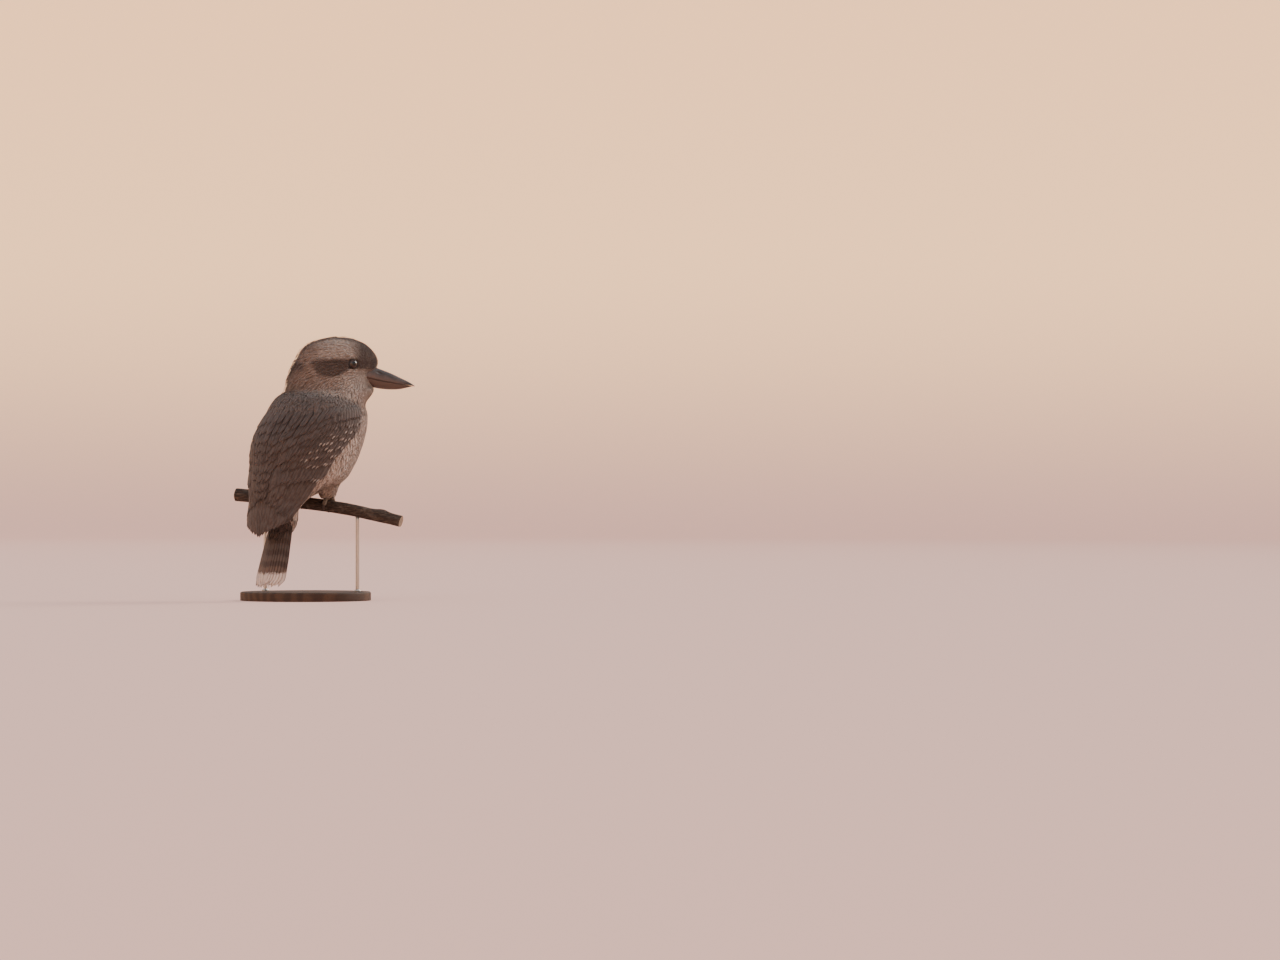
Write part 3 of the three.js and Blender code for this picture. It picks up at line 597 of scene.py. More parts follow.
# The skin: trunk and boots in one, inside the plumage
COAT = {"body": 2.0, "head": 1.8, "face": 1.1}
BOOT = {"height": 30.0, "top": 21.0, "bottom": 10.0, "back": 2.0, "coat": 2.0}
SKIN_VOXEL = 1.7
SKIN_SMOOTHING = 8
NECK = {"passes": 90, "right": 0.2, "left": 0.5, "bottom": (118, 132), "top": (172, 156)}
EYE = {"forward": 18.0, "up": 2.5, "aside": 29.0, "radius": 7.0, "turn": 14.0, "raise": 6.0}
SOCKET = {"inner": 4.8, "outer": 8.5, "depth": 4.5}
BILL_ROOT = head_point(40, 0, -12)


def coat_depth(at, angle):
    """How far the skin lies inside the plumage's outside."""
    body, head, face = COAT["body"], COAT["head"], COAT["face"]
    depth = mix(body, head, ease(8, 11, at))
    front = ease(0.55, 0.95, -np.cos(angle + math.radians(HEAD_BEARING)))
    return mix(depth, face, ease(10, 11.5, at) * front)


def trunk_skin():
    """Rings of the trunk, closed over the crown."""
    at = np.linspace(0, len(TRUNK) - 1, 200)[:, None]
    angle = np.linspace(0, 2 * math.pi, 180, endpoint=False)[None]
    at, angle = np.broadcast_arrays(at, angle)
    rings = trunk_point(at, angle, -coat_depth(at, angle))
    crown = head_point(CROWN[0], CROWN[1], CROWN[2] - COAT["head"])
    inward = np.linspace(0.12, 0.97, 10)[:, None, None]
    cap = mix(rings[-1], crown, inward)
    cap[..., 2] = mix(rings[-1][:, 2], crown[..., 2], 1 - (1 - inward[..., 0]) ** 2)
    return np.concatenate([rings, cap])


# The branch. Its middle line starts below the grip and runs to the front and the back.
PERCH = {"bearing": -65.0, "radius": 8.2, "back": 112.0, "front": 124.0, "slope": -0.115, "droop": 0.0006}
PERCH_AHEAD = towards(PERCH["bearing"])
PERCH_FRONT = np.array([-PERCH_AHEAD[1], PERCH_AHEAD[0], 0.0])


def perch_middle(along):
    """A point of the branch's middle line. At along 0 it lies one radius below the grip."""
    along = np.asarray(along, float)[..., None]
    down = PERCH["radius"] - PERCH["slope"] * along + PERCH["droop"] * np.maximum(along, 0) ** 2
    return PERCH_AHEAD * along - UP * down


FEET_APART = 39.0
SHANK = {"height": 3.0, "radius": 5.0}


def foot_place(side):
    """How far along the branch a foot stands."""
    return -side * FEET_APART / 2


def branch_top(along):
    return float(perch_middle(along)[2]) + PERCH["radius"]


def boot_point(side, share, angle, swell):
    """A point round a feathered boot, from its foot at share 0 up into the belly."""
    x, y, _ = perch_middle(foot_place(side))
    bottom = branch_top(foot_place(side)) + SHANK["height"]
    radius = BOOT["bottom"] + (BOOT["top"] - BOOT["bottom"]) * np.maximum(share, 0) ** 0.8 + swell
    z = bottom + (BOOT["height"] - bottom) * share
    out = radius * np.cos(angle) - BOOT["back"] * share
    return np.stack(np.broadcast_arrays(x + out, y + radius * np.sin(angle), z), -1)


def boot_skin(side):
    share = np.linspace(0, 1.6, 26)[:, None]
    angle = np.linspace(0, 2 * math.pi, 48, endpoint=False)[None]
    return boot_point(side, *np.broadcast_arrays(share, angle), -BOOT["coat"])


def skin_shape():
    """Trunk and boots made one by a fine remesh, then smoothed. Gives points and faces."""
    points, (quads, tris) = gathered([trunk_skin(), boot_skin(LEFT), boot_skin(RIGHT)])
    mesh = bpy.data.meshes.new("skin_shape")
    mesh.from_pydata(points.tolist(), [], [*quads.tolist(), *tris.tolist()])
    shape = bpy.data.objects.new("skin_shape", mesh)
    bpy.context.scene.collection.objects.link(shape)
    remesh = shape.modifiers.new("remesh", "REMESH")
    remesh.mode = "VOXEL"
    remesh.voxel_size = SKIN_VOXEL
    smooth = shape.modifiers.new("smooth", "SMOOTH")
    smooth.factor, smooth.iterations = 0.5, SKIN_SMOOTHING
    made = shape.evaluated_get(bpy.context.evaluated_depsgraph_get()).to_mesh()
    found = np.array([vertex.co[:] for vertex in made.vertices])
    faces = np.array([polygon.vertices[:] for polygon in made.polygons])
    ends = np.array([edge.vertices[:] for edge in made.edges])
    bpy.data.objects.remove(shape)
    return smooth_neck(found, ends), faces


def smooth_neck(points, ends):
    """Evens the skin between head and body, most on the left, where the turned head stretches it."""
    left = ease(0, 20, (points - HEAD) @ HEAD_LEFT)
    share = mix(NECK["right"], NECK["left"], left) * ease(*NECK["bottom"], points[:, 2])
    share = (share * ease(*NECK["top"], points[:, 2]))[:, None]
    degree = np.bincount(ends.ravel(), minlength=len(points))[:, None]
    for _ in range(NECK["passes"]):
        total = np.zeros_like(points)
        np.add.at(total, ends[:, 0], points[ends[:, 1]])
        np.add.at(total, ends[:, 1], points[ends[:, 0]])
        points = mix(points, total / degree, share)
    return points


def eye_axis(side):
    """An eye's middle and the direction that it looks in."""
    turn, rise = math.radians(EYE["turn"]), math.radians(EYE["raise"])
    out = HEAD_AHEAD * math.sin(turn) + HEAD_LEFT * side * math.cos(turn) + UP * math.sin(rise)
    return head_point(EYE["forward"], side * EYE["aside"], EYE["up"]), unit(out)


LORES = {"start": 33.0, "full": 41.0, "low": (-33.0, -24.0), "high": (-1.0, -9.0), "deep": 5.5}


def press_lores(points):
    """Narrows the face beside the bill's root, so that the bill shows back to the gape."""
    offset = points - HEAD
    forward, aside, up = offset @ HEAD_AHEAD, offset @ HEAD_LEFT, offset[:, 2]
    share = ease(LORES["start"], LORES["full"], forward) * ease(*LORES["low"], up)
    share = share * ease(*LORES["high"], up)
    inward = np.minimum(np.abs(aside) * 0.8, LORES["deep"] * share) * np.sign(aside)
    return points - HEAD_LEFT * inward[:, None]


def sink_sockets(points):
    """Hollows the skin where the eyes sit."""
    for side in (LEFT, RIGHT):
        centre, out = eye_axis(side)
        apart = points - centre
        height = dot(apart, out)
        off = np.linalg.norm(apart - height * out, axis=-1, keepdims=True)
        deep = (1 - ease(SOCKET["inner"], SOCKET["outer"], off)) * (height > 0)
        points = points - out * deep * SOCKET["depth"]
    return points


# How the plumage lies


def head_share(place):
    """0 on the body and 1 on the head, with the change higher at the nape than at the throat."""
    return ease(126, 158, place[..., 2:3] + 0.12 * (place - HEAD) @ HEAD_AHEAD[:, None])


def lie_of_plumage(place, normal):
    """The direction that feathers point in, everywhere on the skin."""
    from_bill = place - BILL_ROOT
    behind = -HEAD_AHEAD * 0.55 - UP * 0.28
    low = ease(-5, -30, (place - HEAD)[..., 2:3])
    on_head = unit(from_bill) + behind + (-UP * 0.5) * low
    downward = -UP - np.array([0.28, 0, 0])
    belly = ease(48, 18, place[..., 2:3])
    on_body = downward + belly * np.array([-0.75, 0, 0.1])
    lie = mix(unit(on_body), unit(on_head), head_share(place))
    return unit(flat_on(lie, normal))


def scattered(points, faces, spacing, wanted, rng):
    """Places spread over the skin, none nearer to another than the spacing there."""
    a, b, c = (points[faces[:, k]] for k in range(3))
    areas = 0.5 * np.linalg.norm(np.cross(b - a, c - a), axis=-1)
    density = areas / spacing((a + b + c) / 3) ** 2
    chosen = rng.choice(len(faces), size=wanted, p=density / density.sum())
    s, t = rng.uniform(0, 1, (2, wanted, 1))
    over = s + t > 1
    s, t = np.where(over, 1 - s, s), np.where(over, 1 - t, t)
    spots = a[chosen] + (b - a)[chosen] * s + (c - a)[chosen] * t
    gaps = spacing(spots)
    cell = float(gaps.max())
    grid, kept = {}, []
    keys = np.floor(spots / cell).astype(int)
    around = [(i, j, k) for i in (-1, 0, 1) for j in (-1, 0, 1) for k in (-1, 0, 1)]
    for n in range(wanted):
        key, spot, gap = tuple(keys[n]), spots[n], gaps[n]
        cells = [(key[0] + i, key[1] + j, key[2] + k) for i, j, k in around]
        near = [m for cell_key in cells for m in grid.get(cell_key, ())]
        if near and np.min(np.sum((spots[near] - spot) ** 2, -1)) < gap * gap:
            continue
        grid.setdefault(key, []).append(n)
        kept.append(n)
    return spots[kept]


def marched(skin, roots, length, rings):
    """Points along each feather's way over the skin, with the skin's normal at each."""
    count = len(roots)
    ways = np.zeros((count, rings, 3))
    normals = np.zeros((count, rings, 3))
    steps = np.asarray(length) / (rings - 1)
    here = roots.copy()
    for r in range(rings):
        found = [skin.find_nearest(spot) for spot in here]
        near = np.array([hit[0][:] for hit in found])
        normal = np.array([hit[1][:] for hit in found])
        ways[:, r], normals[:, r] = near, normal
        lie = lie_of_plumage(near, normal)
        here = near + lie * steps[:, None]
    normals = unit(normals + normals.mean(1, keepdims=True) * 0.6)
    return ways, normals


# How deep in the skin a feather of head or body is rooted
ROOTED = 0.9


def coat_vanes(vanes, skin, roots, look, rings, columns):
    """Body feathers over the skin. look gives each root's length, half width, rise, fray and turn."""
    length, half, rise, fray, turn = look(roots)
    count = len(roots)
    length = length * RNG.uniform(0.82, 1.18, count)
    half = half * RNG.uniform(0.88, 1.12, count)
    ways, normals = marched(skin, roots, length, rings)
    along = np.linspace(0, 1, rings)[None, :, None]
    across = np.linspace(-1, 1, columns)[None, None, :]
    ahead = unit(np.gradient(ways, axis=1))
    aside = np.cross(ahead, normals)
    swing = np.tan(RNG.normal(0, 1, count) * turn)[:, None, None] * along
    ways = ways + aside * swing * length[:, None, None]
    jitter = RNG.uniform(-0.15, 0.15, count)
    risen = np.interp(along, [0, 0.3, 0.7, 1], [0, 0.56, 1, 0.9])
    height = -ROOTED + (rise + jitter + ROOTED)[:, None, None] * risen
    width = half[:, None, None] * np.interp(along, [0, 0.4, 0.75, 1], [0.55, 1, 0.8, 0.22])
    frayed = RNG.uniform(-1, 0.6, (count, 1, columns)) * (fray * length)[:, None, None]
    frayed = frayed * ease(0.6, 1, along)
    rounded = -0.16 * length[:, None, None] * across**2 * ease(0.3, 1, along)
    camber = -0.16 * width * across**2
    top = (
        ways[:, :, None]
        + aside[:, :, None] * (width * across)[..., None]
        + normals[:, :, None] * (height + camber)[..., None]
        + ahead[:, :, None] * (frayed + rounded)[..., None]
    )
    vanes.add(top, normals[:, :, None], ways[:, 1], across, along, 0.14 + 0.03 * half, length)


# The shell that the folded wings follow. A row is z, x of its middle, half depth, half width, and the
# degrees from the back at which the wing starts and ends.
SHELL = [
    (132, 12, 62, 58, 62, 95),
    (120, 7, 69, 66, 36, 99),
    (108, 2.5, 74.5, 69, 16, 105),
    (92, -3.5, 79, 70.5, 5, 112),
    (77, -10, 81, 70.5, 3, 96),
    (60, -16.5, 79.5, 69.5, 2.5, 85),
    (42, -23.5, 74.5, 66.5, 2, 80),
    (26, -30, 71.5, 64.5, 2, 76),
    (12, -37, 66, 61.5, 2, 70),
    (0, -44, 59, 58, 2, 65),
    (-12, -55, 49, 54, 3, 61),
    (-24, -65.5, 40, 51.5, 4, 62),
    (-40, -75.5, 31, 47.5, 6, 64),
    (-56, -81.5, 25, 45, 8, 62),
]
SHELL_HEIGHTS = np.array([row[0] for row in SHELL], float)


def shell_values(z):
    """The shell's values at a height, in the order of a row of SHELL after its z."""
    at = np.interp(-z, -SHELL_HEIGHTS, np.arange(len(SHELL)))
    return np.moveaxis(through(np.array(SHELL)[:, 1:], at), -1, 0)


def shell_point(side, z, degrees, lift):
    """A point of the wings' shell by height and by degrees from the back, lifted off it."""
    x, depth, width = shell_values(z)[:3]
    angle = np.radians(degrees)
    ahead = -(depth + lift) * np.cos(angle)
    aside = side * (width + lift) * np.sin(angle)
    return np.stack(np.broadcast_arrays(x + ahead, aside, z), -1)


# Rows of wing feathers, lowest first. Roots and tips give height and angle of a row's first feather, at the
# wing's front edge, and of its last.
WING_ROWS = {
    "primaries": dict(count=8, half=7.6, lift=(-3.2, -1.6), sink=1.2, spot=0.0, ripple=0.7,
        roots=((30, 67), (28, 8)), tips=((-35, 54), (-52, 2)), rings=18, columns=9, point=0.2),
    "secondaries": dict(count=11, half=8.2, lift=(-2.6, -1.2), sink=1.0, spot=0.0, ripple=2.5,
        roots=((52, 77), (46, 16)), tips=((-30, 56), (-8, 8)), rings=16, columns=9, point=0.22),
    "tertials": dict(count=4, half=9.0, lift=(-0.9, -0.4), sink=1.1, spot=0.0, ripple=1.0,
        roots=((66, 40), (70, 15)), tips=((-6, 25), (13, 6)), rings=14, columns=9, point=0.25),
    "greater_coverts": dict(count=14, half=5.6, lift=(-0.7, -0.2), sink=1.2, spot=0.8, ripple=2.2,
        roots=((60, 84), (58, 28)), tips=((22, 74), (14, 22)), rings=10, columns=7, point=0.3),
    "lower_median_coverts": dict(count=15, half=4.8, lift=(-0.3, 0.1), sink=1.2, spot=1.0, ripple=2.0,
        roots=((73, 87), (68, 34)), tips=((42, 78), (34, 27)), rings=8, columns=5, point=0.3),
    "median_coverts": dict(count=15, half=4.6, lift=(0.0, 0.4), sink=1.2, spot=1.0, ripple=2.0,
        roots=((82, 92), (76, 36)), tips=((53, 84), (45, 30)), rings=8, columns=5, point=0.3),
    "lower_lesser_coverts": dict(count=15, half=4.3, lift=(0.2, 0.6), sink=1.2, spot=1.0, ripple=1.8,
        roots=((91, 98), (84, 42)), tips=((65, 90), (55, 36)), rings=7, columns=5, point=0.3),
    "lesser_coverts": dict(count=14, half=4.1, lift=(0.3, 0.7), sink=1.2, spot=1.0, ripple=2.6,
        roots=((100, 102), (92, 50)), tips=((76, 96), (66, 43)), rings=7, columns=5, point=0.3),
    "upper_lesser_coverts": dict(count=13, half=4.0, lift=(0.5, 0.9), sink=1.3, spot=1.0, ripple=2.6,
        roots=((108, 104), (100, 58)), tips=((86, 100), (76, 51)), rings=7, columns=5, point=0.3),
    "marginal_coverts": dict(count=12, half=3.8, lift=(0.5, 0.9), sink=1.4, spot=0.7, ripple=2.4,
        roots=((116, 103), (110, 62)), tips=((97, 103), (87, 60)), rings=6, columns=5, point=0.3),
    "upper_marginal_coverts": dict(count=10, half=3.8, lift=(0.5, 0.9), sink=1.6, spot=0.0, ripple=1.2,
        roots=((124, 99), (119, 67)), tips=((107, 102), (98, 68)), rings=6, columns=5, point=0.3),
    "lower_scapulars": dict(count=8, half=7.4, lift=(0.2, 0.7), sink=1.7, spot=0.0, ripple=2.4,
        roots=((96, 66), (78, 12)), tips=((66, 55), (34, 8)), rings=9, columns=7, point=0.3),
    "middle_scapulars": dict(count=8, half=6.8, lift=(0.6, 1.1), sink=1.9, spot=0.0, ripple=2.4,
        roots=((110, 72), (88, 13)), tips=((84, 60), (52, 9)), rings=8, columns=7, point=0.3),
    "upper_scapulars": dict(count=9, half=6.0, lift=(0.8, 1.3), sink=2.2, spot=0.0, ripple=2.0,
        roots=((122, 78), (98, 15)), tips=((99, 67), (68, 11)), rings=8, columns=5, point=0.3),
    "top_scapulars": dict(count=9, half=5.2, lift=(0.8, 1.3), sink=2.8, spot=0.0, ripple=1.6,
        roots=((130, 82), (108, 17)), tips=((110, 72), (83, 13)), rings=7, columns=5, point=0.3),
}
VANE_TILT = 1.0
VANE_THICK = 0.42
# Spots start at an angle from the back, and further round by the slant for each millimetre off a level
SPOTS = {"from": 44.0, "level": 48.0, "slant": 0.6}


def vane_outline(t, point):
    """Half width along a wing feather: narrow at the root, full, then rounded to its tip."""
    body = np.interp(t, [0, 0.25, 0.6, 1], [0.55, 0.85, 1, 1])
    left = np.clip((1 - t) / point, 0, 1)
    return body * np.sqrt(np.clip(1 - (1 - left) ** 2.4, 0.012, 1))


def shell_row(vanes, side, row):
    """A row of feathers over the wing's shell, each tilted so that one edge lies over its neighbour."""
    count, rings, columns = row["count"], row["rings"], row["columns"]
    share = np.linspace(0, 1, count)
    roots, tips = (mix(*np.array(row[end]), share[:, None]) for end in ("roots", "tips"))
    stray = RNG.uniform(-1, 1, (2, count, 2)) * np.array([row["ripple"], 0.9])
    root, tip = roots + stray[0] * 0.5, tips + stray[1]
    along = (1 - (1 - np.linspace(0, 1, rings)) ** 1.35)[None, :, None]
    across = np.linspace(-1, 1, columns)[None, None, :]
    z = mix(root[:, None, :1], tip[:, None, :1], along)
    angle = mix(root[:, None, 1:], tip[:, None, 1:], along)
    here = shell_point(side, z, angle, 0)
    per_height = shell_point(side, z + 1, angle, 0) - here
    per_degree = shell_point(side, z, angle + 1, 0) - here
    climb, swing = (tip - root)[:, None, :1], (tip - root)[:, None, 1:]
    ahead = per_height * climb[..., None] + per_degree * swing[..., None]
    aside = unit(np.cross(unit(np.cross(per_height, per_degree)), ahead))
    length = np.linalg.norm(ahead, axis=-1).mean((1, 2))
    half = (row["half"] * RNG.uniform(0.94, 1.06, count))[:, None, None]
    width = half * vane_outline(along, row["point"]) * across
    dz = width * dot(aside, per_height)[..., 0] / dot(per_height, per_height)[..., 0]
    da = width * dot(aside, per_degree)[..., 0] / dot(per_degree, per_degree)[..., 0]
    rounded = (row["half"] * 0.5) * across**2 * ease(0.55, 1, along)
    back = rounded / np.linalg.norm(ahead, axis=-1)
    z_all = z + dz - back * climb
    angle_all = angle + da - back * swing
    low, high = row["lift"]
    lift = mix(low, high, share)[:, None, None] + RNG.uniform(-0.1, 0.1, (count, 1, 1))
    lift = lift - VANE_TILT / 2 * across - row["sink"] * (1 - along) - 0.12 * half * across**2
    top = shell_point(side, z_all, angle_all, lift)
    off_level = np.abs(tip[:, 0] - SPOTS["level"])
    spotted = ease(-3, 6, tip[:, 1] - SPOTS["from"] - off_level * SPOTS["slant"])
    spot = row["spot"] * spotted * RNG.uniform(-0.2, 1.6, count).clip(0, 1)
    places = shell_point(side, root[:, 0], root[:, 1], 0)
    vanes.add(top, outward(top), places, across, along, VANE_THICK, length, spot)


def outward(points):
    """Straight out from the wing's shell at points on it."""
    z = points[..., 2]
    x, depth, width = shell_values(z)[:3]
    out = np.stack([(points[..., 0] - x) / depth**2, points[..., 1] / width**2, np.zeros_like(z)], -1)
    return unit(out)


WING_BED = {"top": 112.0, "bottom": 4.0, "outer": -3.2, "inner": -9.0, "margin": 7.0, "start": 5.0}


def wing_bed(side):
    """The folded wing's body under its feathers."""
    z = np.linspace(WING_BED["top"], WING_BED["bottom"], 60)[:, None]
    start, end = shell_values(z)[3:]
    share = np.linspace(0, 1, 30)[None]
    start = start + WING_BED["start"]
    angle = start + (end - WING_BED["margin"] - start) * share
    outer = shell_point(side, np.broadcast_to(z, angle.shape), angle, WING_BED["outer"])
    inner = shell_point(side, np.broadcast_to(z, angle.shape), angle, WING_BED["inner"])[:, ::-1]
    rings = np.concatenate([outer, inner], 1)
    return lofted(rings if side == LEFT else rings[:, ::-1])


# Feathers between the wings: the heights of each tier's roots and tips, and how far round the tiers reach
BACK_TIERS = [(124, 96), (112, 84), (100, 71), (88, 58), (76, 45), (64, 32), (53, 20), (42, 8), (31, -3)]
BACK_REACH = {"top": 26.0, "less": 2.4}
BACK_ROW = dict(count=4, half=5.6, lift=(0.9, 1.2), sink=2.2, spot=0.0, ripple=2.4)
BACK_ROW |= dict(rings=8, columns=7, point=0.3)


def back_feathers(finish):
    """Feathers that lie over the folded wings' inner edges, from between the shoulders to the rump."""
    vanes = Vanes()
    for tier, (root, tip) in enumerate(BACK_TIERS):
        wide = BACK_REACH["top"] - BACK_REACH["less"] * tier
        ends = {"roots": ((root, wide), (root, 0)), "tips": ((tip, wide * 0.9), (tip, 0))}
        for side in (LEFT, RIGHT):
            shell_row(vanes, side, BACK_ROW | ends)
    vanes.piece("back_feathers", finish, "brown_vanes")


def wing(name, side, finish):
    """All rows of a folded wing as one piece, and the bed below them."""
    vanes = Vanes()
    for row in WING_ROWS.values():
        shell_row(vanes, side, row)
    vanes.piece(f"wing_{name}_feathers", finish, "brown_vanes", [f"wing_{name}"])
    points, faces = wing_bed(side)
    mesh_piece(f"wing_{name}_bed", points, faces, finish, numbers=plain_numbers(points))


# The tail. A row of TAIL_ROOT is along, lift, half depth and half width.
TAIL = {"lean": 17.5, "length": 106.5, "half": 8.0, "pairs": 6, "root": 17, "spread": 22.6, "roof": 0.01}
TAIL_LAYER = 0.72
TAIL_VANE = {"rings": 22, "columns": 9, "point": 0.14, "fray": 4.0, "thick": 0.45}
TAIL_ROOT = [
    (0.3, 0, 19, 23.4),
    (10, -1.5, 16.5, 21.5),
    (20, -3.5, 12.5, 19),
    (27, -3.5, 8, 16.5),
    (34, -1.5, 4, 13.5),
    (42, 0.5, 1.4, 9),
]


def tail_point(along, aside, lift):
    """A point by its way down the tail, to its left, and above its roof-shaped upper side."""
    lean = math.radians(TAIL["lean"])
    roofed = lift - TAIL["roof"] * aside**2
    x = BODY[0][0] - along * math.sin(lean) - roofed * math.cos(lean)
    z = BODY[0][2] - along * math.cos(lean) + roofed * math.sin(lean)
    return np.stack(np.broadcast_arrays(x, aside, z), -1)


def tail_up():
    """Straight out from the tail's upper side."""
    lean = math.radians(TAIL["lean"])
    return np.array([-math.cos(lean), 0, math.sin(lean)])


def tail_row(vanes, starts, ends):
    """Feathers along the tail, each from a start to an end of along, aside and lift."""
    starts, ends = np.array(starts, float), np.array(ends, float)
    count, half = len(starts), TAIL["half"]
    rings, columns = TAIL_VANE["rings"], TAIL_VANE["columns"]
    along = (1 - (1 - np.linspace(0, 1, rings)) ** 1.25)[None, :, None]
    across = np.linspace(-1, 1, columns)[None, None, :]
    mixed = mix(starts[:, None, None], ends[:, None, None], along[..., None])
    width = half * vane_outline(along, TAIL_VANE["point"]) * across
    teeth = RNG.uniform(-1, 0.5, (count, 1, columns)) * TAIL_VANE["fray"] * ease(0.82, 1, along)
    rounded = -half * 0.5 * across**2 * ease(0.7, 1, along)
    camber = -0.05 * half * across**2
    top = tail_point(mixed[..., 0] + teeth + rounded, mixed[..., 1] + width, mixed[..., 2] + camber)
    length = (ends - starts)[:, 0]
    places = tail_point(starts[:, 0], starts[:, 1], starts[:, 2])
    vanes.add(top, tail_up(), places, across, along, TAIL_VANE["thick"], length)


COVERTS = {"tiers": 5, "around": 38, "start": 15.0, "step": 6.5, "half": 3.6, "radius": 17, "fray": 1.6}
UNDERTAIL = {"swell": 2.6, "length": 54}


def tail_root_point(along, angle, swell):
    """A point round the tail's root. Angle 0 is its upper side."""
    at = np.interp(along, [row[0] for row in TAIL_ROOT], np.arange(len(TAIL_ROOT)))
    _, lift, depth, width = np.moveaxis(through(TAIL_ROOT, at), -1, 0)
    return tail_point(along, (width + swell) * np.sin(angle), lift + (depth + swell) * np.cos(angle))


def tail_covert_row(vanes, turns, start):
    """A ring of coverts from the tail's root down over its feathers."""
    count, rings, columns = len(turns), 8, 5
    length = RNG.uniform(22, 28, count)
    along = np.linspace(0, 1, rings)[None, :, None]
    across = np.linspace(-1, 1, columns)[None, None, :]
    half = COVERTS["half"] * RNG.uniform(0.9, 1.1, (count, 1, 1))
    down = start + length[:, None, None] * along + RNG.uniform(-2, 2, (count, 1, 1))
    frayed = RNG.uniform(-1, 0.5, (count, 1, columns)) * COVERTS["fray"] * ease(0.6, 1, along)
    down = down + frayed - half * 0.5 * across**2 * ease(0.5, 1, along)
    angle = turns[:, None, None] + half * vane_outline(along, 0.4) * across / COVERTS["radius"]
    below = ease(-0.2, 0.7, -np.cos(turns))[:, None, None]
    swell = -1.2 + 2.6 * along**0.8 + RNG.uniform(-0.2, 0.2, (count, 1, 1))
    swell = swell + UNDERTAIL["swell"] * below * np.sin(math.pi * np.clip(down / UNDERTAIL["length"], 0, 1))
    top = tail_root_point(down, angle, swell)
    middle = tail_point(down, 0, 0)
    places = tail_root_point(np.full(count, start), turns, 0)
    vanes.add(top, unit(top - middle), places, across, along, 0.3, length)


def tail(barred, pale, brown):
    """The tail's feathers in pairs, the middle pair uppermost, with coverts round its root."""
    flight = Vanes()
    starts, ends = [], []
    for pair in range(TAIL["pairs"]):
        for side in (LEFT, RIGHT):
            share = (pair + 0.5) / TAIL["pairs"]
            under = 0.4 if pair == 0 and side == RIGHT else 0
            lift = 2.2 - TAIL_LAYER * (pair + under)
            starts.append((8, side * TAIL["root"] * share, lift - 0.5))
            ends.append((TAIL["length"] - 4 * share**2, side * TAIL["spread"] * share, lift))
    tail_row(flight, starts, ends)
    flight.piece("tail_feathers", barred, "barred_vanes", ["tail"])
    coverts = {"over": (Vanes(), brown, "barred_vanes"), "under": (Vanes(), pale, "pale_down")}
    for tier in range(COVERTS["tiers"]):
        turns = np.linspace(-180, 180, COVERTS["around"], endpoint=False) + 5 * (tier % 2)
        turns = turns + RNG.uniform(-2, 2, len(turns))
        over = np.abs(np.abs(turns) - 180) > 100
        for name, (vanes, _, _) in coverts.items():
            chosen = over if name == "over" else ~over
            tail_covert_row(vanes, np.radians(turns[chosen]), COVERTS["start"] - COVERTS["step"] * tier)
    for name, (vanes, finish, slot) in coverts.items():
        vanes.piece(f"tail_coverts_{name}", finish, slot)
    tail_flesh(pale)


def tail_flesh(pale):
    """The tail's fleshy root, inside its coverts."""
    angle = np.linspace(0, 2 * math.pi, 40, endpoint=False)[None]
    rows = through(TAIL_ROOT, np.linspace(0, len(TAIL_ROOT) - 1, 30))
    along, lift, depth, width = (rows[:, k, None] for k in range(4))
    rings = tail_point(along, (width - 3) * np.sin(angle), lift + (depth - 3).clip(0.3) * np.cos(angle))
    points, faces = lofted(rings)
    mesh_piece("tail_root", points, faces, pale, numbers=plain_numbers(points))


# The bill, in the head's frame. A row is forward, heights of ridge, mouth and keel, and half width.
BILL = [
    (26, 5, -11.8, -20.5, 21),
    (36, 4, -13.8, -24, 18.4),
    (45, 2.2, -16, -26.8, 14.8),
    (56, -2.2, -18.5, -29.4, 11.8),
    (71, -7.9, -21, -30.9, 9.4),
    (85, -14.4, -23.2, -30.6, 6.7),
    (96, -19.6, -24.6, -28.6, 4.2),
    (102.5, -23.4, -25.7, -27, 2.2),
    (106, -26.2, -26.9, -26.4, 0.5),
]
LOWER_SHORTER = 2.4
MOUTH_GAP = 0.16
OVERBITE = 0.95
NOSTRIL = {"forward": 56.5, "up": -8.5, "length": 3.6, "height": 1.3, "depth": 1.3, "slope": -22.0}
RIDGE, MOUTH, KEEL, GIRTH = 1, 2, 3, 4


def mandible(far, gap, shorter, roundness):
    """Half of the bill, from the mouth line to its ridge or keel, closed along the mouth by a flat floor."""
    at = np.linspace(0, len(BILL) - 1, 90)[:, None]
    angle = np.linspace(0, math.pi, 41)[None]
    rows = through(BILL, np.broadcast_arrays(at, angle)[0])
    seam = rows[..., MOUTH] + gap
    reach = (rows[..., far] - seam) * np.sin(angle) ** roundness
    forward = rows[..., 0] - shorter * at / at.max()
    aside = rows[..., GIRTH] * np.cos(angle) * (OVERBITE if far == KEEL else 1)
    up = seam + reach
    rings = head_point(forward, aside, up)
    floor = head_point(forward[:, :1], aside[:, -1:] * np.linspace(0.9, -0.9, 9), seam[:, :1])
    return np.concatenate([rings, floor], 1)


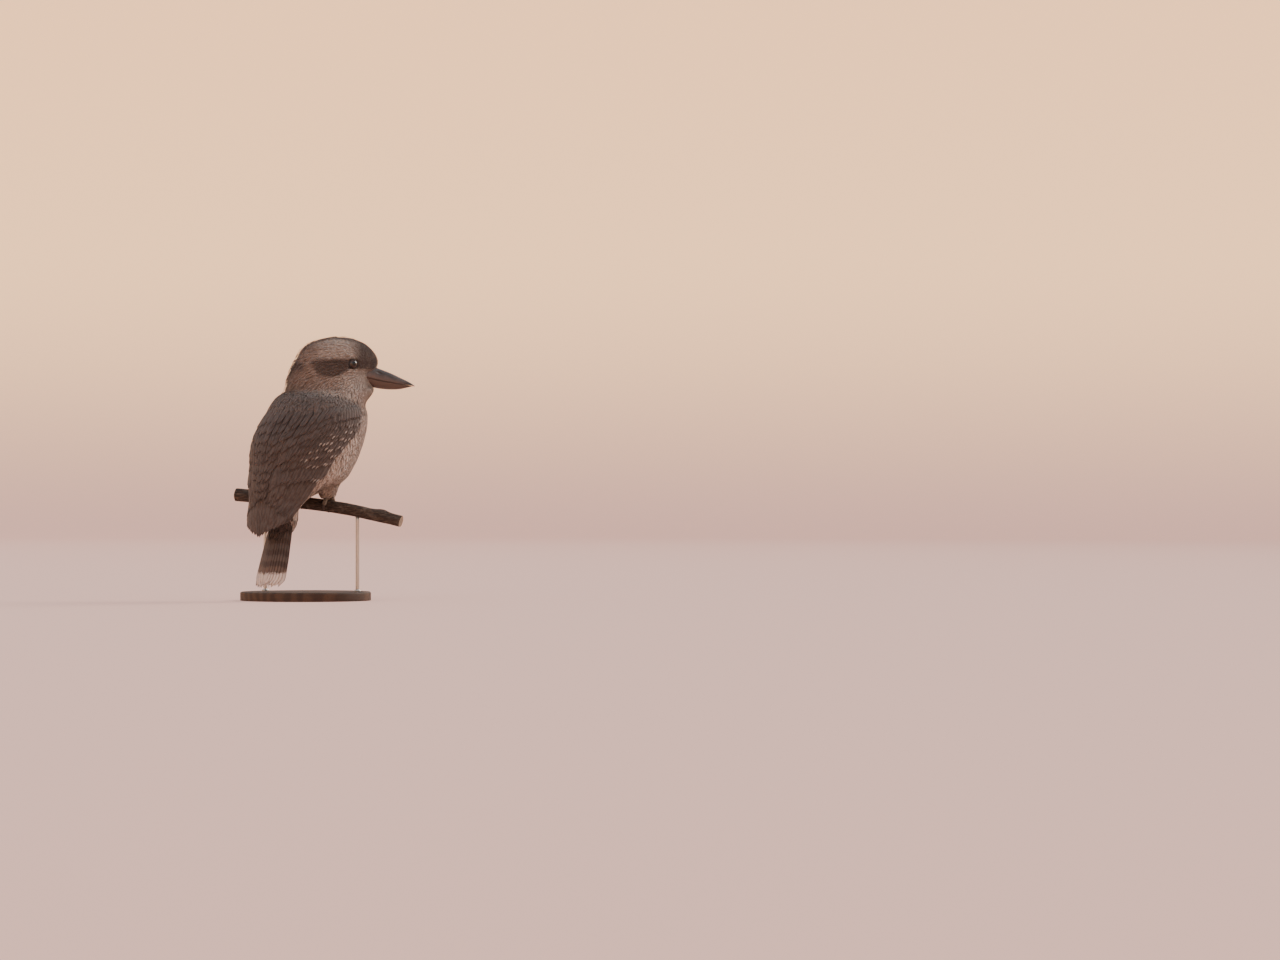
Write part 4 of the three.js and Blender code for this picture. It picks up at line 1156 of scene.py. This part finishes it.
def horn(name, dark, pale, far):
    """Horn: darker along the ridge and at the tip, with blotches, fine grain lengthways and pores."""
    finish = Finish(name, Specular_IOR_Level=0.3, Coat_Weight=0.08, Coat_Roughness=0.3)
    place = finish.vector("place")
    ahead = place.along(HEAD_AHEAD) - float(HEAD @ HEAD_AHEAD)
    aside = place.along(HEAD_LEFT) - float(HEAD @ HEAD_LEFT)
    up = place.along(UP) - float(HEAD[2])
    grain = finish.noise(finish.combined(ahead * 0.06, aside * 0.7, up * 0.9), 1.0, 4.0)
    blotch = finish.noise(place, 0.12, 3.0)
    middle = -7 - (ahead - 40) * 0.27
    level = (up - middle).above(-6, 6) if far == RIDGE else 1 - (up - middle + 14).above(-9, 3)
    level = level * 0.75 + ahead.above(84, 104) * 0.5 + (blotch - 0.5) * 0.5 + (grain - 0.5) * 0.5
    colour = finish.blend(pale, dark, level.above(0.05, 0.85))
    rough = 0.42 + grain * 0.2
    relief = grain * 0.35 + finish.noise(place, 1.3, 2.0) * 0.12
    return finish.paint(colour, rough, relief)


def bill():
    """Both halves, shut on one another with a fine gap."""
    upper = mandible(RIDGE, MOUTH_GAP / 2, 0, 0.85)
    lower = mandible(KEEL, -MOUTH_GAP / 2, LOWER_SHORTER, 0.8)
    dark = horn("upper_horn", shade(46, 40, 39), shade(86, 74, 70), RIDGE)
    pale = horn("lower_horn", shade(50, 41, 38), shade(82, 67, 60), KEEL)
    halves = {
        "upper": (carved_nostrils(upper), dark, "dark_horn"),
        "lower": (lower[:, ::-1], pale, "pale_horn"),
    }
    for name, (rings, finish, slot) in halves.items():
        points, faces = lofted(rings)
        mesh_piece(f"bill_{name}_horn", points, faces, finish, [f"bill_{name}"])


def carved_nostrils(rings):
    """Slits pressed into the upper bill's sides."""
    offset = rings - HEAD
    forward, aside, up = offset @ HEAD_AHEAD, offset @ HEAD_LEFT, offset[..., 2]
    slope = math.radians(NOSTRIL["slope"])
    ahead = (forward - NOSTRIL["forward"]) * math.cos(slope) + (up - NOSTRIL["up"]) * math.sin(slope)
    over = (up - NOSTRIL["up"]) * math.cos(slope) - (forward - NOSTRIL["forward"]) * math.sin(slope)
    far = (ahead / NOSTRIL["length"]) ** 2 + (over / NOSTRIL["height"]) ** 2
    deep = NOSTRIL["depth"] * (1 - ease(0.3, 1.3, far)) * np.sign(aside)
    return rings - HEAD_LEFT * deep[..., None]


# Eyes and lids
LID = {"radius": 5.9, "thick": 1.15, "out": 4.1}


def eye_finish():
    """Black pupil, dark brown iris with fibres, and a darker rim."""
    coat = {"Coat_Weight": 0.25, "Coat_Roughness": 0.05}
    finish = Finish("eye_gloss", Roughness=0.16, Specular_IOR_Level=0.35, **coat)
    ring = finish.number("ring")
    fibres = finish.noise(finish.vector("place"), 1.6, 3.0)
    iris = finish.blend(shade(38, 26, 19), shade(66, 44, 30), fibres.above(0.35, 0.7))
    colour = finish.blend(shade(8, 6, 5), iris, ring.above(0.48, 0.54))
    return finish.paint(finish.blend(colour, shade(30, 22, 18), ring.above(0.78, 0.86)))


def frame_of(out):
    """Two directions square to one another and to the given one, the second nearly upright."""
    level = unit(np.cross(UP, out))
    return level, np.cross(out, level)


def eyes(gloss, lids):
    """Eyeballs that bulge a little at the pupil, with their lids."""
    for name, side in SIDES.items():
        centre, out = eye_axis(side)
        level, rise = frame_of(out)
        polar = np.linspace(0.02, math.pi - 0.02, 40)[:, None]
        turn = np.linspace(0, 2 * math.pi, 48, endpoint=False)[None]
        bulge = EYE["radius"] + 0.35 * (1 - ease(0, 0.75, polar))
        spread = (bulge * np.sin(polar))[..., None]
        rings = centre + out * (bulge * np.cos(polar))[..., None]
        rings = rings + (level * np.cos(turn)[..., None] + rise * np.sin(turn)[..., None]) * spread
        points, faces = lofted(rings[:, ::-1])
        reach = np.linalg.norm((points - centre) - dot(points - centre, out) * out, axis=-1)
        ring = np.where(dot(points - centre, out)[:, 0] > 0, reach / LID["radius"], 1)
        mesh_piece(f"eyeball_{name}", points, faces, gloss, [f"eye_{name}"], {"ring": ring})
        lid_piece(name, centre, out, level, rise, lids)


def lid_piece(name, centre, out, level, rise, finish):
    """Both lids as one soft ring, longer than high, the upper one heavier, with fine folds."""
    turn = np.linspace(0, 2 * math.pi, 72, endpoint=False)[:, None]
    fold = np.linspace(0, 2 * math.pi, 20, endpoint=False)[None]
    upper = np.maximum(np.sin(turn), 0)
    radius = LID["radius"] * (1 - 0.1 * np.abs(np.sin(turn))) + 0.12 * np.sin(5 * turn)
    thick = LID["thick"] * (1 + 0.35 * upper)
    crease = 1 + 0.12 * np.cos(6 * fold + 1.5 * np.sin(turn))
    reach = radius + thick * crease * np.cos(fold)
    height = LID["out"] - 0.5 + 0.35 * upper + 0.9 * thick * crease * np.sin(fold)
    flat = level * np.cos(turn)[..., None] + rise * np.sin(turn)[..., None]
    points = centre + flat * reach[..., None] + out * height[..., None]
    faces = tube_faces(len(turn) + 1, fold.size) % (turn.size * fold.size)
    mesh_piece(f"lid_{name}", points, [faces], finish)


def bare_skin(name, base, light, scale, relief):
    """Skin without feathers, with small scales."""
    finish = Finish(name, Roughness=0.55, Specular_IOR_Level=0.4)
    place = finish.vector("place")
    scales = finish.cell_edges(place, scale)
    soft = finish.noise(place, 0.4, 3.0)
    colour = finish.blend(base, light, scales.above(0.05, 0.3) * (0.4 + soft))
    return finish.paint(colour, 0.45 + soft * 0.25, scales.above(0.0, 0.22) * relief)


# The branch, its cut ends, the feet round it and the stand
KNOT = {"at": 96.0, "spread": 9.0, "height": 2.6, "angle": 30.0}


def perch_point(along, angle, distance):
    """A point off the branch's middle line. Angle 0 is straight up and a quarter turn its front."""
    along, angle, distance = np.broadcast_arrays(along, angle, distance)
    tangent = unit(perch_middle(along + 0.5) - perch_middle(along - 0.5))
    top = unit(UP - tangent * tangent[..., 2:3])
    middle = perch_middle(along)
    level = PERCH_FRONT * (distance * np.sin(angle))[..., None]
    return middle + level + top * (distance * np.cos(angle))[..., None]


def perch_radius(along, angle):
    """The bark's outside: a slow taper, soft swellings away from the feet, a knot, furrows and cracks."""
    girth = PERCH["radius"] * (1 - 0.0006 * along)
    away = np.clip((np.abs(along) - 30) / 25, 0, 1)
    swell = 0.25 * np.sin(3 * angle + along * 0.06) + 0.2 * np.sin(5 * angle - along * 0.09)
    knot = ((along - KNOT["at"]) / KNOT["spread"]) ** 2 + ((angle - math.radians(KNOT["angle"])) / 0.7) ** 2
    furrows = np.sin(23 * angle + 2.2 * np.sin(along * 0.16) + along * 0.02)
    furrows = furrows * np.sin(along * 0.11 + 3 * angle)
    cracks = -np.exp(-((np.sin(along * 0.19 + 1.7 * np.sin(angle * 2))) ** 2) * 22)
    return girth + away * swell + KNOT["height"] * np.exp(-knot) + 0.16 * furrows + 0.18 * cracks


def bark():
    """Weathered bark with ridges and flakes lengthways and paler patches."""
    finish = Finish("bark", Roughness=0.9, Specular_IOR_Level=0.2)
    place = finish.vector("place")
    lengthways = place.along(PERCH_AHEAD)
    around = finish.combined(lengthways * 0.05, place.along(PERCH_FRONT) * 0.5, place.along(UP) * 0.5)
    ridges = finish.noise(around, 1.6, 6.0, 0.65)
    patches = finish.noise(place, 0.08, 3.0)
    flakes = finish.cell_edges(around, 1.3)
    colour = finish.blend(shade(54, 45, 41), shade(96, 83, 74), ridges.above(0.35, 0.7))
    colour = finish.blend(colour, shade(120, 108, 98), patches.above(0.56, 0.7) * 0.4)
    colour = finish.blend(colour, shade(30, 24, 21), (1 - flakes.above(0.0, 0.06)) * 0.7)
    return finish.paint(colour, height=ridges * 1.1 + flakes.above(0, 0.12) * 0.4)


def cut_wood():
    """A sawn end with growth rings and a dark heart."""
    finish = Finish("sawn_end", Roughness=0.8)
    place = finish.vector("place")
    off = finish.number("ring")
    wobble = finish.noise(place, 0.5, 2.0)
    rings = ((off * 9 + wobble * 1.5) * 3.1).sine()
    colour = finish.blend(shade(136, 118, 100), shade(116, 99, 83), rings.above(-0.2, 0.8))
    colour = finish.blend(colour, shade(78, 60, 48), 1 - off.above(0.05, 0.16))
    return finish.paint(colour, height=rings * 0.15)


def perch(material, ends):
    """The length of branch and its two cut ends."""
    along = np.linspace(-PERCH["back"], PERCH["front"], 300)[:, None]
    angle = np.linspace(-math.pi, math.pi, 84, endpoint=False)[None]
    rings = perch_point(along, angle, perch_radius(along, angle))
    points = rings.reshape(-1, 3)
    mesh_piece("perch_bark", points, [tube_faces(*rings.shape[:2])], material, ["perch"])
    for name, ring, inward in (("back", 0, 1), ("front", -1, -1)):
        edge = rings[ring]
        middle = edge.mean(0)
        share = np.linspace(1, 0.02, 12)[:, None, None]
        dish = PERCH_AHEAD * inward * 0.5 * (1 - share**2)
        disc = middle + (edge - middle)[None] * share + dish
        ordered = disc if ring == 0 else disc[:, ::-1]
        faces = tube_faces(*disc.shape[:2])[:, ::-1]
        off = np.broadcast_to(share[..., 0], disc.shape[:2])
        flat = ordered.reshape(-1, 3)
        mesh_piece(f"perch_end_{name}", flat, [faces], ends, numbers={"ring": off})


# Toes and claws. Reach and length are degrees round the branch, and spread is millimetres along it.
TOE = {"thick": 3.4, "taper": 0.78, "clear": 0.45}
CLAW = {"length": 42.0, "out": 1.6, "radius": 1.9, "clear": 2.6}
TOES = {
    "outer": dict(spread=-4.6, reach=100.0, turn=1, joints=4),
    "middle": dict(spread=0.0, reach=114.0, turn=1, joints=3),
    "inner": dict(spread=7.0, reach=96.0, turn=1, joints=3),
    "back": dict(spread=1.5, reach=88.0, turn=-1, joints=2),
}


def bar_rings(along, angle, distance, radius, around=20):
    """Rings of a round bar that is bent round the branch, from where each ring stands."""
    middle = perch_point(along, angle, distance)
    ahead = unit(np.gradient(middle, axis=0))
    aside = unit(PERCH_AHEAD - ahead * dot(ahead, PERCH_AHEAD))
    out = np.cross(ahead, aside)
    turn = np.linspace(0, 2 * math.pi, around, endpoint=False)[None]
    level = aside[:, None] * (radius[:, None] * np.cos(turn))[..., None]
    return middle[:, None] + level + out[:, None] * (radius[:, None] * np.sin(turn))[..., None]


def toe_rings(place, side, spread, reach, turn, joints):
    """A toe round the branch, with a pad at each joint and fine scutes between."""
    share = np.linspace(0, 1, 60)
    pads = 0.09 * np.abs(np.sin(math.pi * joints * share)) ** 0.7
    scutes = 0.035 * (1 - np.abs(np.sin(math.pi * joints * 3 * share)) ** 6)
    tip = np.sqrt(np.clip((1.02 - share) / 0.09, 0.05, 1))
    radius = TOE["thick"] * (1 + (TOE["taper"] - 1) * share) * (0.93 + pads + scutes) * tip
    distance = PERCH["radius"] + TOE["clear"] + TOE["thick"] * (1 + (TOE["taper"] - 1) * share)
    along = place + side * spread * (0.5 + 0.5 * share)
    return bar_rings(along, turn * math.radians(reach) * share, distance, radius)


def claw_rings(place, side, spread, reach, turn):
    """A claw that goes on from its toe's end and arches off the branch."""
    share = np.linspace(0, 1, 24)
    radius = CLAW["radius"] * (1 - share) ** 0.7 + 0.2
    bulge = CLAW["out"] * np.sin(math.pi * (0.2 + 0.8 * share))
    distance = PERCH["radius"] + CLAW["clear"] * (1 - 0.55 * share) + bulge
    angle = turn * np.radians(reach - 5 + CLAW["length"] * share)
    return bar_rings(np.full(len(share), place + side * spread), angle, distance, radius, 14)


def shank_rings(place):
    """The bare shank, from the branch up into the boot."""
    x, y, _ = perch_middle(place)
    z = branch_top(place) + np.linspace(0.5, SHANK["height"] + 8, 16)
    turn = np.linspace(0, 2 * math.pi, 28, endpoint=False)[None]
    radius = SHANK["radius"] * (0.95 + 0.06 * np.sin(np.linspace(0, 9, 16)))[:, None]
    level = np.broadcast_arrays(x + radius * np.cos(turn), y + radius * np.sin(turn), z[:, None])
    return np.stack(level, -1)


def feet(scaled, claws):
    """Each foot's toes and shank as one piece, and its claws as another."""
    for name, side in SIDES.items():
        place = foot_place(side)
        toes = [toe_rings(place, side, **toe) for toe in TOES.values()]
        nails = [claw_rings(place, side, toe["spread"], toe["reach"], toe["turn"]) for toe in TOES.values()]
        points, faces = gathered([*toes, shank_rings(place)])
        mesh_piece(f"foot_{name}_skin", points, faces, scaled, [f"foot_{name}"])
        points, faces = gathered(nails)
        mesh_piece(f"foot_{name}_claws", points, faces, claws)


# The base's groove starts and ends at two distances in from the edge
BASE = {"radius": 88.0, "height": 12.0, "round": 2.4, "groove": (12.0, 15.0), "groove_depth": 0.7}
ROD = {"radius": 2.5, "places": (-70.0, 62.0)}
# The rings of the small collar at a rod's foot: how much wider than the rod, and how high
COLLAR_RINGS = [(2.2, 0), (2.4, 0.5), (2.2, 1.6), (0.9, 2.2), (0, 2.4)]


def base_wood():
    """Dark oiled wood with its grain along X."""
    finish = Finish("base_wood", Specular_IOR_Level=0.3)
    place = finish.vector("place")
    x, y, z = (place.along(axis) for axis in np.eye(3))
    warp = finish.noise(place, 0.02, 2.0)
    rings = ((y * 0.22 + warp * 7 + x * 0.012) * 2).sine()
    pores = finish.noise(finish.combined(x * 0.03, y * 1.4, z * 1.4), 1.0, 4.0)
    colour = finish.blend(shade(58, 44, 36), shade(74, 56, 45), rings.above(-0.8, 0.9))
    colour = finish.blend(colour, shade(40, 30, 25), pores.above(0.5, 0.72) * 0.6)
    return finish.paint(colour, 0.55 + pores * 0.25, pores * 0.25)


def brushed_steel():
    """Steel with fine lines along the rod."""
    finish = Finish("rod_steel", Metallic=1.0)
    place = finish.vector("place")
    x, y, z = (place.along(axis) for axis in np.eye(3))
    lines = finish.noise(finish.combined(x * 3, y * 3, z * 0.05), 1.0, 3.0)
    colour = finish.blend(shade(150, 146, 142), shade(196, 192, 188), lines)
    return finish.paint(colour, 0.28 + lines * 0.2, lines * 0.08)


def turned(profile, centre, around=96):
    """A closed round shape from radii and heights."""
    radius, height = np.array(profile, float).T
    turn = np.linspace(0, 2 * math.pi, around, endpoint=False)[None]
    parts = (radius[:, None] * np.cos(turn), radius[:, None] * np.sin(turn), height[:, None])
    return lofted(np.stack(np.broadcast_arrays(*parts), -1) + centre)


def stand(wood, steel):
    """The round base, with its edges rounded and a groove turned in its top, and the two rods."""
    radius, height, bend = BASE["radius"], BASE["height"], BASE["round"]
    arc = np.linspace(0, math.pi / 2, 7)
    under = [(radius - 1 + math.sin(a), 1 - math.cos(a)) for a in arc]
    over = [(radius - bend + bend * math.cos(a), height - bend + bend * math.sin(a)) for a in arc]
    (first, last), deep = BASE["groove"], BASE["groove_depth"]
    groove = [(first, 0), (first + 0.8, deep), (last - 0.8, deep), (last, 0)]
    groove = [(radius - inset, height - depth) for inset, depth in groove]
    bottom = [(10, 0), (radius - 20, 0)]
    top = [(k, height) for k in (radius - 30, radius - 50, 10)]
    points, faces = turned(bottom + under + over + groove + top, -GRIP, 160)
    mesh_piece("stand_disc", points, faces, wood, ["stand_base"])
    for number, along in enumerate(ROD["places"], 1):
        x, y, z = perch_middle(along)
        foot = height - GRIP[2] + 0.3
        collar = [(ROD["radius"] + wider, foot + higher) for wider, higher in COLLAR_RINGS]
        bar = [(ROD["radius"], k) for k in np.linspace(foot + 3, z - PERCH["radius"] + 1.5, 20)]
        points, faces = turned(collar + bar, np.array([x, y, 0.0]), 40)
        mesh_piece(f"stand_rod_{number}_bar", points, faces, steel, [f"stand_rod_{number}"])


# Skin and coat. Feathers aren't rooted below a folded wing, at an eye or inside the bill.
HIDDEN = {"margin": 9.0, "top": 112, "bottom": 2}
EYE_CLEAR = 6.8
BILL_CLEAR = {"sunk": 1.8, "from": 30}


def under_wing(place):
    """Whether a place of the skin is hidden by a folded wing."""
    z = place[:, 2]
    x, _, _, start, end = shell_values(z)
    angle = np.degrees(np.arctan2(np.abs(place[:, 1]), x - place[:, 0]))
    covered = (angle > start + HIDDEN["margin"]) & (angle < end - HIDDEN["margin"])
    return covered & (z < HIDDEN["top"]) & (z > HIDDEN["bottom"])


def near_eye(place):
    near = np.zeros(len(place), bool)
    for side in (LEFT, RIGHT):
        centre, out = eye_axis(side)
        apart = place - centre
        height = dot(apart, out)
        off = np.linalg.norm(apart - height * out, axis=-1)
        near |= (off < EYE_CLEAR) & (height[:, 0] > 0)
    return near


def in_bill(place):
    """Whether a root would stand inside the bill."""
    offset = place - HEAD
    forward, aside, up = offset @ HEAD_AHEAD, offset @ HEAD_LEFT, offset[:, 2]
    at = np.interp(forward, [row[0] for row in BILL], np.arange(len(BILL)))
    rows = through(BILL, at)
    middle = (rows[:, RIDGE] + rows[:, KEEL]) / 2
    tall = (rows[:, RIDGE] - rows[:, KEEL]) / 2 - BILL_CLEAR["sunk"]
    wide = rows[:, GIRTH] - BILL_CLEAR["sunk"]
    return ((aside / wide) ** 2 + ((up - middle) / tall) ** 2 < 1) & (forward > BILL_CLEAR["from"])


def face_share(place):
    """1 at the bill's root, falling to 0 over the head and down the throat."""
    forward = (place - HEAD) @ HEAD_AHEAD
    off_level = np.abs((place - HEAD)[..., 2])
    return ease(8, 44, forward + off_level * 0.1) * ease(128, 150, place[..., 2])


def neck_share(place):
    """0 on the body, rising to 1 on the neck."""
    return ease(108, 144, place[..., 2])


def look_of_coat(place):
    """Length, half width, rise, fray and turn of the feathers of head and body.

    Feathers of nape and crown are longer, and some of them stand loose.
    """
    face, neck = face_share(place), neck_share(place)
    ahead = (place - HEAD) @ HEAD_AHEAD
    nape = ease(-16, -50, ahead) * ease(146, 162, place[:, 2])
    crown = ease(24, 34, place[:, 2] - HEAD[2]) * ease(44, 20, ahead)
    on_head = ease(136, 156, place[:, 2])
    length = mix(mix(15.0, 14.0, neck), mix(12.5, 5.0, face), on_head) + 5.0 * nape + 1.5 * crown
    half = mix(mix(1.9, 1.8, neck), mix(1.6, 0.95, face), on_head)
    rise = mix(COAT["body"], mix(COAT["head"], COAT["face"], face), on_head)
    loose = RNG.uniform(0, 1, len(place)) < 0.2 * nape + 0.03 * crown
    rise = rise + 0.4 * nape + loose * RNG.uniform(0.7, 1.6 + 1.4 * nape, len(place))
    half = half * (1 - 0.35 * loose)
    length = length * (1 + 0.2 * loose)
    fray = mix(0.3, 0.2, on_head)
    turn = mix(0.09, mix(0.06, 0.03, face), on_head) + 0.08 * loose
    return length, half, rise, fray, turn


def for_each(place, *values):
    """Every value once for each place."""
    return [np.broadcast_to(value, len(place)) for value in values]


def mantle_look(place):
    return for_each(place, 15.0, mix(3.4, 2.4, neck_share(place)), 2.1, 0.16, 0.07)


def on_mantle(place):
    """Whether a place belongs to the brown of the back, below the pale collar."""
    x, y, z = np.moveaxis(place, -1, 0)
    turn = np.degrees(np.arctan2(y, trunk_middle(z) - x))
    collar = collar_height(turn, ease(COLLAR["dip_from"], COLLAR["dip_to"], turn))
    return (z < collar + 2) & (np.abs(turn) < MANTLE_EDGE)


def boot_look(place):
    return for_each(place, 8.5, 1.7, 1.9, 0.25, 0.1)


def head_spacing(place):
    crown = ease(22, 32, place[..., 2] - HEAD[2])
    return mix(mix(2.1, 1.7, crown), 1.35, face_share(place))


def body_spacing(place):
    return mix(1.75, 1.85, neck_share(place))


def mantle_spacing(place):
    return mix(3.2, 2.3, neck_share(place))


def boot_spacing(place):
    return np.full(place.shape[:-1], 2.2)


# Where the coat's pieces part: heights, and for the boots also how far back they reach
HEAD_COAT = {"bottom": 147}
BREAST_COAT = {"bottom": 62}
BOOT_COAT = {"top": 26, "back": -26}
FLESH = ["torso", "neck", "head", "leg_left", "leg_right"]


def skin(finish):
    """The skin as one piece. Gives its points and faces."""
    points, faces = skin_shape()
    points = press_lores(sink_sockets(points))
    # Painted shade: the skin is a little darker than a feather of middle tone, and much darker at the bill's
    # root, where it shows between feathers and round the bill
    painted_shade_at_bill = ease(46, 52, (points - HEAD) @ HEAD_AHEAD) * ease(-38, -30, (points - HEAD)[:, 2])
    numbers = plain_numbers(points, tone=0.4 - 2.5 * painted_shade_at_bill)
    mesh_piece("skin", points, [faces], finish, FLESH, numbers, patches=unwrap(points))
    return points, faces


def coat(points, faces, finish):
    """Feathers over the skin, in a piece for each region of the body. Wanted is how many roots are tried."""
    tris = np.concatenate([faces[:, [0, 1, 2]], faces[:, [0, 2, 3]]])
    tree = BVHTree.FromPolygons(points.tolist(), tris.tolist())
    middles = points[tris].mean(1)
    height = middles[:, 2]
    boots = (height < BOOT_COAT["top"]) & (middles[:, 0] > BOOT_COAT["back"])
    on_head = height > HEAD_COAT["bottom"]
    brown = on_mantle(middles)
    breast = height > BREAST_COAT["bottom"]
    pale = ~on_head & ~boots & ~brown
    fine = {"spacing": body_spacing, "look": look_of_coat, "rings": 4, "columns": 3, "wanted": 60000}
    head = {"spacing": head_spacing, "look": look_of_coat, "rings": 5, "columns": 3, "wanted": 50000}
    mantle = {"spacing": mantle_spacing, "look": mantle_look, "rings": 5, "columns": 5, "wanted": 12000}
    boot = {"spacing": boot_spacing, "look": boot_look, "rings": 4, "columns": 3, "wanted": 4000}
    regions = [
        ("coat_head", on_head, "head_feathers", head),
        ("coat_breast", pale & breast, "pale_down", fine),
        ("coat_belly", pale & ~breast, "pale_down", fine),
        ("coat_mantle", ~on_head & ~boots & brown, "brown_vanes", mantle),
        ("coat_boots", boots, "pale_down", boot),
    ]
    for name, where, slot, feather in regions:
        roots = scattered(points, tris[where], feather["spacing"], feather["wanted"], RNG)
        roots = roots[~under_wing(roots) & ~near_eye(roots) & ~in_bill(roots)]
        vanes = Vanes()
        coat_vanes(vanes, tree, roots, feather["look"], feather["rings"], feather["columns"])
        vanes.piece(name, finish, slot)


# Floor, light and camera

AIR_LIGHT = 1.0
SWEEP_GLOW = 0.9
VIEW_AHEAD = unit(np.array([1.0, 1.0, 0.0]))
VIEW_RIGHT = unit(np.array([1.0, -1.0, 0.0]))
# The floor and its round wall, in metres: where the floor starts to bend, the bend's radius, the wall's top
SWEEP = {"flat": 7.0, "bend": 1.6, "top": 2.6}


def sweep(tinted):
    """A pale floor that bends up into a low round wall far from the bird."""
    edge, bend = SWEEP["flat"], SWEEP["bend"]
    turn = np.linspace(0, math.pi / 2, 24)
    out = np.concatenate([[0.5, 2, 4.5], edge + bend * np.sin(turn), [edge + bend]])[:, None]
    up = np.concatenate([[0, 0, 0], bend * (1 - np.cos(turn)), [SWEEP["top"]]])[:, None]
    round_it = np.linspace(0, 2 * math.pi, 96, endpoint=False)[None]
    rings = np.stack(np.broadcast_arrays(out * np.cos(round_it), out * np.sin(round_it), up), -1)
    points, faces = rings.reshape(-1, 3), tube_faces(*rings.shape[:2]).tolist()
    faces.append(list(range(rings.shape[1]))[::-1])
    mesh = bpy.data.meshes.new("floor")
    mesh.from_pydata([tuple(point) for point in points], [], faces)
    mesh.attributes.new("place", "FLOAT_VECTOR", "POINT").data.foreach_set("vector", np.ravel(points) / MM)
    mesh.shade_smooth()
    mesh.materials.append(tinted)
    ground = bpy.data.objects.new("floor", mesh)
    bpy.context.scene.collection.objects.link(ground)


def studio():
    """The floor with its glow, warmer with height, and the air's own light."""
    floor = Finish("studio_floor", Roughness=0.95, Specular_IOR_Level=0.1, Emission_Strength=SWEEP_GLOW)
    up = floor.vector("place").along(UP)
    tint = floor.blend(shade(180, 146, 137), shade(255, 209, 158), up.above(-100, 900))
    floor.feed(floor.shader.inputs["Emission Color"], tint)
    sweep(floor.paint(tint))
    world = bpy.data.worlds.new("studio_air")
    world.use_nodes = True
    air = world.node_tree.nodes["Background"]
    air.inputs["Color"].default_value = shade(222, 230, 242)
    air.inputs["Strength"].default_value = AIR_LIGHT
    bpy.context.scene.world = world


def soft_sun(name, direction, power, spread, colour):
    """Even light from far off, from a direction, with soft shadows."""
    light = bpy.data.lights.new(name, "SUN")
    light.energy, light.angle, light.color = power, math.radians(spread), colour[:3]
    lit = bpy.data.objects.new(name, light)
    lit.rotation_euler = (-Vector(direction)).to_track_quat("-Z", "Y").to_euler()
    bpy.context.scene.collection.objects.link(lit)


# The camera: lens and sensor in millimetres, and where it stands from the grip in metres
CAMERA = {"lens": 135.0, "sensor": 36, "far": 6.48, "aside": 0.44, "rise": 0.0243}


def lights_and_camera():
    soft_sun("key", VIEW_RIGHT * 0.9 + VIEW_AHEAD * 0.45 + UP * 0.55, 3.4, 35, shade(255, 244, 234))
    soft_sun("fill", UP * 0.8 - VIEW_AHEAD * 0.8 - VIEW_RIGHT * 0.5, 0.5, 60, shade(250, 248, 250))
    camera = bpy.data.cameras.new("camera")
    camera.lens, camera.sensor_width, camera.clip_end = CAMERA["lens"], CAMERA["sensor"], 100
    seen = bpy.data.objects.new("camera", camera)
    distance = math.hypot(CAMERA["far"], CAMERA["aside"])
    seen.location = GRIP * MM + UP * CAMERA["rise"] - VIEW_AHEAD * distance
    turn = math.atan2(CAMERA["aside"], CAMERA["far"])
    axis = VIEW_AHEAD * math.cos(turn) + VIEW_RIGHT * math.sin(turn)
    seen.rotation_euler = Vector(axis).to_track_quat("-Z", "Y").to_euler()
    bpy.context.scene.collection.objects.link(seen)
    bpy.context.scene.camera = seen


def corners(bounds):
    """Both corners of a box as plain lists."""
    return [list(corner) for corner in bounds]


studio()
lights_and_camera()
down = plumage("down_plumage")
coat(*skin(down), down)
brown = flight_plumage("brown_plumage")
for name, side in SIDES.items():
    wing(name, side, brown)
back_feathers(brown)
tail(flight_plumage("barred_plumage", barred=True), down, brown)
bill()
eyes(eye_finish(), bare_skin("lid_skin", shade(42, 34, 32), shade(66, 54, 50), 1.4, 0.3))
perch(bark(), cut_wood())
toe_skin = bare_skin("scaled_skin", shade(84, 74, 64), shade(134, 120, 104), 0.75, 0.45)
feet(toe_skin, horn("claw_horn", shade(34, 28, 26), shade(64, 54, 48), RIDGE))
stand(base_wood(), brushed_steel())
